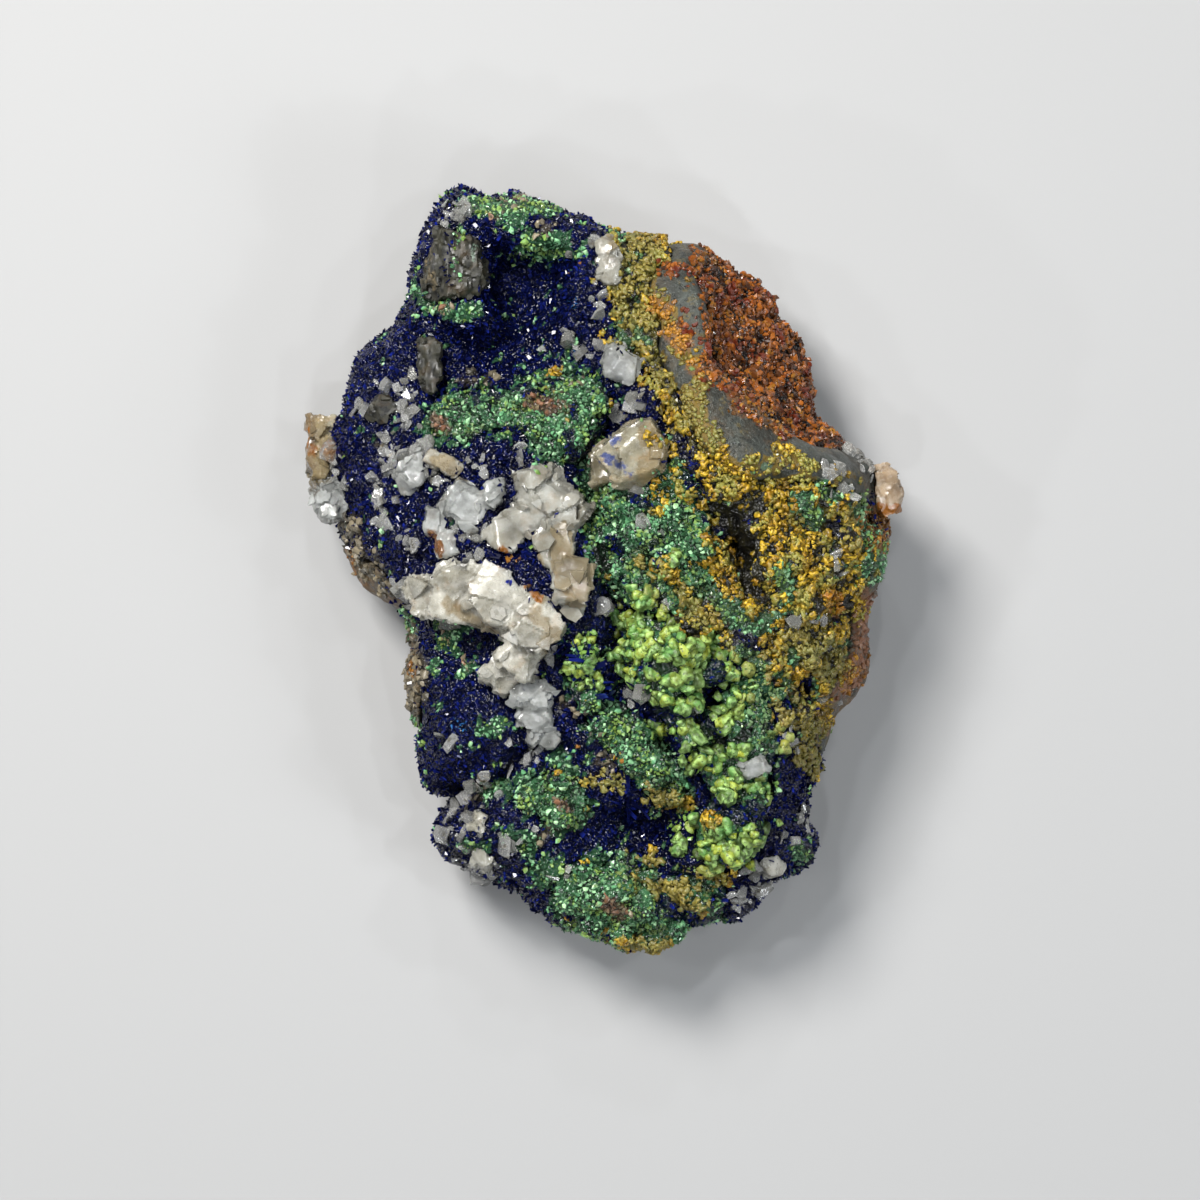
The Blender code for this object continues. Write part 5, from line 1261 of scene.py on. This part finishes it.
# ---- The crystals: (finish, cell size, step between cells, tilt, largest flake, grooves, jagged outline), in mm ----
CRYSTALS = {
    "calcite_spar_mass": ("milky spar", 4.2, 0.24, 0.12, 3.4, 0, 0.50),
    "calcite_spar_fan": ("cloudy spar", 3.4, 0.30, 0.16, 2.8, 0, 0.65),
    "calcite_plate": ("clear spar", 3.4, 0.10, 0.08, 3.0, 0, 0.35),
    "calcite_small_plate": ("clear spar", 3.0, 0.10, 0.08, 2.4, 0, 0.35),
    "calcite_long_blade": ("milky spar", 3.6, 0.12, 0.10, 0, 0, 0.25),
    "calcite_block_left": ("clear spar", 2.6, 0.16, 0.16, 2.2, 0, 0.40),
    "calcite_chip_left": ("smoky quartz", 1.6, 0.20, 0.20, 0, 0, 0.30),
    "smoky_quartz_stack": ("clear spar", 2.6, 0.22, 0.16, 2.2, 0, 0.40),
    "tan_spar_block": ("stained spar", 3.6, 0.24, 0.14, 0, 0, 0.30),
    "white_spar_wedge": ("clear spar", 3.4, 0.14, 0.14, 0, 0, 0.35),
    "right_spar_block": ("peach spar", 2.6, 0.26, 0.20, 0, 0, 0.20),
    "left_edge_spar": ("stained spar", 2.0, 0.34, 0.26, 2.2, 0, 0.60),
    "left_lower_spar": ("clear spar", 2.0, 0.30, 0.26, 2.0, 0, 0.50),
    "vug_quartz_nodule": ("smoky quartz", 2.2, 0.24, 0.16, 0, 0.36, 0.35),
    "fin_crystal": ("smoky quartz", 2.2, 0.20, 0.16, 0, 0.28, 0.25),
    "far_edge_quartz": ("cloudy spar", 2.4, 0.22, 0.20, 1.8, 0, 0.45),
    "lower_right_quartz": ("clear spar", 2.0, 0.22, 0.20, 1.6, 0, 0.35),
    "white_chip": ("milky spar", 3.0, 0.12, 0.10, 0, 0, 0.25),
    "lobe_quartz": ("milky spar", 2.0, 0.22, 0.20, 0, 0, 0.30),
    "lobe_spar": ("cloudy spar", 2.0, 0.26, 0.20, 1.4, 0, 0.35),
}


RIPPLE, RIPPLE_SIZE = 0.05, 0.9  # waviness of the faces
CORNER_SIZE = 1.3  # size of the cells that break up the outline
GROOVE_SIZE, GROOVE_RUN = 0.5, (1.0, 0.22, 0.5)  # the grooves' width, and the weight of each axis: they run along Y


def cell_of(points, size, rng):
    """Gives each point the number of the random cell that it lies in, with the cells' centres; in millimetres."""
    low, high = points.min(axis=0) - size * MM, points.max(axis=0) + size * MM
    count = int(np.prod(np.maximum((high - low) / (size * MM), 1.0))) + 4
    centres = rng.uniform(low, high, (count, 3))
    lookup = KDTree(count)
    for i, centre in enumerate(centres):
        lookup.insert(centre, i)
    lookup.balance()
    return np.array([lookup.find(point)[1] for point in points]), centres


def cleave(obj, cell, step, tilt, grooves, jag, seed):
    """Breaks a crystal's faces into cleavage steps and its outline into corners, or grooves it, in millimetres."""
    mesh = obj.data
    points, normals = vertex_array(mesh), vertex_array(mesh, "normal")
    rng = np.random.default_rng(seed)
    home, centres = cell_of(points, cell, rng)
    steps, slopes = rng.uniform(-1, 0.6, len(centres)) * step * MM, rng.uniform(-1, 1, centres.shape) * tilt
    out = steps[home] + np.einsum("ij,ij->i", slopes[home], points - centres[home])
    out += RIPPLE * MM * cloud(points, RIPPLE_SIZE, seed)
    corner, corners = cell_of(points * (1, 1, 0), CORNER_SIZE, rng)
    out += jag * MM * (1 - np.abs(normals[:, 2])) * rng.uniform(-0.7, 1.0, len(corners))[corner]
    streaks = cloud(points * GROOVE_RUN, GROOVE_SIZE, seed, 2)
    out += grooves * MM * streaks
    tints = rng.uniform(0, 1, len(centres))[home]
    store(mesh, "tint", np.clip(0.5 + 0.9 * streaks, 0, 1) if grooves else tints)
    mesh.vertices.foreach_set("co", (points + normals * out[:, None]).ravel())
    mesh.update()


# ---- Operators ----
class SPECIMEN_OT_host_rock(bpy.types.Operator):
    """Weathers the host rock that carries the crusts"""

    bl_idname = "specimen.host_rock"
    bl_label = "Host Rock"

    def execute(self, context):
        dress(context, "host_rock")
        return {"FINISHED"}


class SPECIMEN_OT_azurite(bpy.types.Operator):
    """Covers the azurite crust with blades, and with the grains and chips it carries"""

    bl_idname = "specimen.azurite"
    bl_label = "Azurite Crust"

    def execute(self, context):
        dress(context, "azurite_crust")
        return {"FINISHED"}


class SPECIMEN_OT_malachite(bpy.types.Operator):
    """Covers the malachite growths with tufts, and the buttons with round lobes"""

    bl_idname = "specimen.malachite"
    bl_label = "Malachite Growths"

    def execute(self, context):
        for node in MALACHITE_NODES:
            dress(context, node)
        return {"FINISHED"}


class SPECIMEN_OT_limonite(bpy.types.Operator):
    """Covers the limonite crust with ochre lumps"""

    bl_idname = "specimen.limonite"
    bl_label = "Limonite Crust"

    def execute(self, context):
        dress(context, "limonite_crust")
        return {"FINISHED"}


class SPECIMEN_OT_goethite(bpy.types.Operator):
    """Covers the goethite crust with rust-brown grains"""

    bl_idname = "specimen.goethite"
    bl_label = "Goethite Crust"

    def execute(self, context):
        dress(context, "goethite_crust")
        return {"FINISHED"}


CRYSTAL_VOXEL = 0.24  # mm
FLAKES_FROM, FLAKES_FADE = 0.45, 0.3  # faces turned up more than this, by the normal's Z, carry flakes


class SPECIMEN_OT_spar(bpy.types.Operator):
    """Gives every separate crystal its cleavage steps and its own cloudy finish"""

    bl_idname = "specimen.spar"
    bl_label = "Spar and Quartz Crystals"

    def execute(self, context):
        settings = context.scene.specimen
        slots = {part["node"]: part["material_slot"] for part in frame["record"]["subparts"]}
        for number, (node, (kind, cell, step, tilt, flake, grooves, jag)) in enumerate(CRYSTALS.items()):
            finish = spar(kind)
            crystal = node_copy(node + "_faces", node)
            even_out(crystal, CRYSTAL_VOXEL)
            cleave(crystal, cell, step, tilt, grooves, jag, SEED + number)
            points, open_air, rise = weather(crystal, node, 0.0, ((3.0, 0.05),), smooth=True)
            crystal.data.set_sharp_from_angle(angle=math.radians(30))
            masks = share_out(crystal.data, "clear", points, open_air)
            crystal.data.materials.append(finish(settings))
            facing = vertex_array(crystal.data, "normal")[:, 2]
            masks["clear"] *= np.clip((facing - FLAKES_FROM) / FLAKES_FADE, 0, 1) * bool(flake)
            own = ("clear", flakes, 0.60 * flake * MM, 1.6e5, 0.45 * flake * MM, flake * MM, 0.16, finish)
            grow(crystal, settings, masks, rise, 700 + 10 * number, own)
            stand_for(crystal, node, slots[node])
        return {"FINISHED"}


# ---- The studio, in metres and watts ----
HALF_FLOOR = 3.0
SKY, SKY_STRENGTH = (0.85, 0.90, 1.0, 1.0), 0.036
EYE = (0.0, -3.4 * MM, 0.62)
SENSOR = 36.0  # mm
VIEW_WIDTH, VIEW_DISTANCE = 0.1399, 0.60  # how wide the camera's view is, and how far from it that width is reached
AIM = Vector((0, 0, 0.02))


def studio_lights():
    """Rows of (name, place, size, power, colour): a key, a fill, and nine small ones all round for glints."""
    yield "key", (-0.24, 0.32, 0.52), 0.20, 6.1, (1.0, 0.98, 0.95)
    yield "fill", (0.45, -0.20, 0.40), 0.18, 0.95, (0.92, 0.96, 1.0)
    for number in range(9):
        turn, reach = math.radians(40 * number + 12), (0.16, 0.30, 0.40)[number % 3]
        place = (reach * math.cos(turn), reach * math.sin(turn), 0.50 - 0.35 * reach)
        yield f"sparkle {number}", place, 0.016, 0.24, (0.94, 0.97, 1.0)


def add_light(name, place, size, power, colour):
    """A square soft light aimed at the specimen."""
    data = bpy.data.lights.new(name, "AREA")
    data.size, data.energy, data.color = size, power, colour
    light = bpy.data.objects.new(name, data)
    light.location = place
    light.rotation_euler = (AIM - Vector(place)).to_track_quat("-Z", "Y").to_euler()
    bpy.context.scene.collection.objects.link(light)


class SPECIMEN_OT_stage(bpy.types.Operator):
    """Sets the pale floor, the soft lights and the camera that looks straight down"""

    bl_idname = "specimen.stage"
    bl_label = "Studio"

    def execute(self, context):
        scene = context.scene
        bm = bmesh.new()
        bmesh.ops.create_grid(bm, x_segments=1, y_segments=1, size=HALF_FLOOR)
        floor = object_from(bm, "floor")
        floor.data.materials.append(Finish("studio floor").finish(Base_Color=scene.specimen.floor, Roughness=0.8))

        scene.world = scene.world or bpy.data.worlds.new("studio")
        scene.world.use_nodes = True
        sky = scene.world.node_tree.nodes["Background"].inputs
        sky["Color"].default_value, sky["Strength"].default_value = SKY, SKY_STRENGTH
        for row in studio_lights():
            add_light(*row)

        camera = bpy.data.objects.new("camera", bpy.data.cameras.new("camera"))
        scene.collection.objects.link(camera)
        camera.location = EYE
        camera.data.sensor_width = SENSOR
        camera.data.lens = SENSOR * VIEW_DISTANCE / VIEW_WIDTH
        scene.camera = camera
        scene.view_settings.view_transform = "Standard"
        return {"FINISHED"}


class SPECIMEN_PT_panel(bpy.types.Panel):
    """Lists the specimen's steps in the 3D view's sidebar"""

    bl_idname = "SPECIMEN_PT_panel"
    bl_label = "Azurite Specimen"
    bl_space_type = "VIEW_3D"
    bl_region_type = "UI"
    bl_category = "Specimen"

    def draw(self, context):
        settings = context.scene.specimen
        for key in settings.bl_rna.properties.keys():
            if key not in ("rna_type", "name"):
                self.layout.prop(settings, key)
        for operator in OPERATORS:
            self.layout.operator(operator.bl_idname)


OPERATORS = (
    SPECIMEN_OT_host_rock,
    SPECIMEN_OT_azurite,
    SPECIMEN_OT_malachite,
    SPECIMEN_OT_limonite,
    SPECIMEN_OT_goethite,
    SPECIMEN_OT_spar,
    SPECIMEN_OT_stage,
)
CLASSES = (SpecimenSettings, *OPERATORS, SPECIMEN_PT_panel)


def register():
    for cls in CLASSES:
        bpy.utils.register_class(cls)
    bpy.types.Scene.specimen = PointerProperty(type=SpecimenSettings)


def unregister():
    del bpy.types.Scene.specimen
    for cls in reversed(CLASSES):
        bpy.utils.unregister_class(cls)


def main():
    register()
    noise.seed_set(SEED)
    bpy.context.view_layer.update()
    bpy.ops.specimen.host_rock()
    bpy.ops.specimen.azurite()
    bpy.ops.specimen.malachite()
    bpy.ops.specimen.limonite()
    bpy.ops.specimen.goethite()
    bpy.ops.specimen.spar()
    bpy.ops.specimen.stage()


if __name__ == "__main__":
    main()
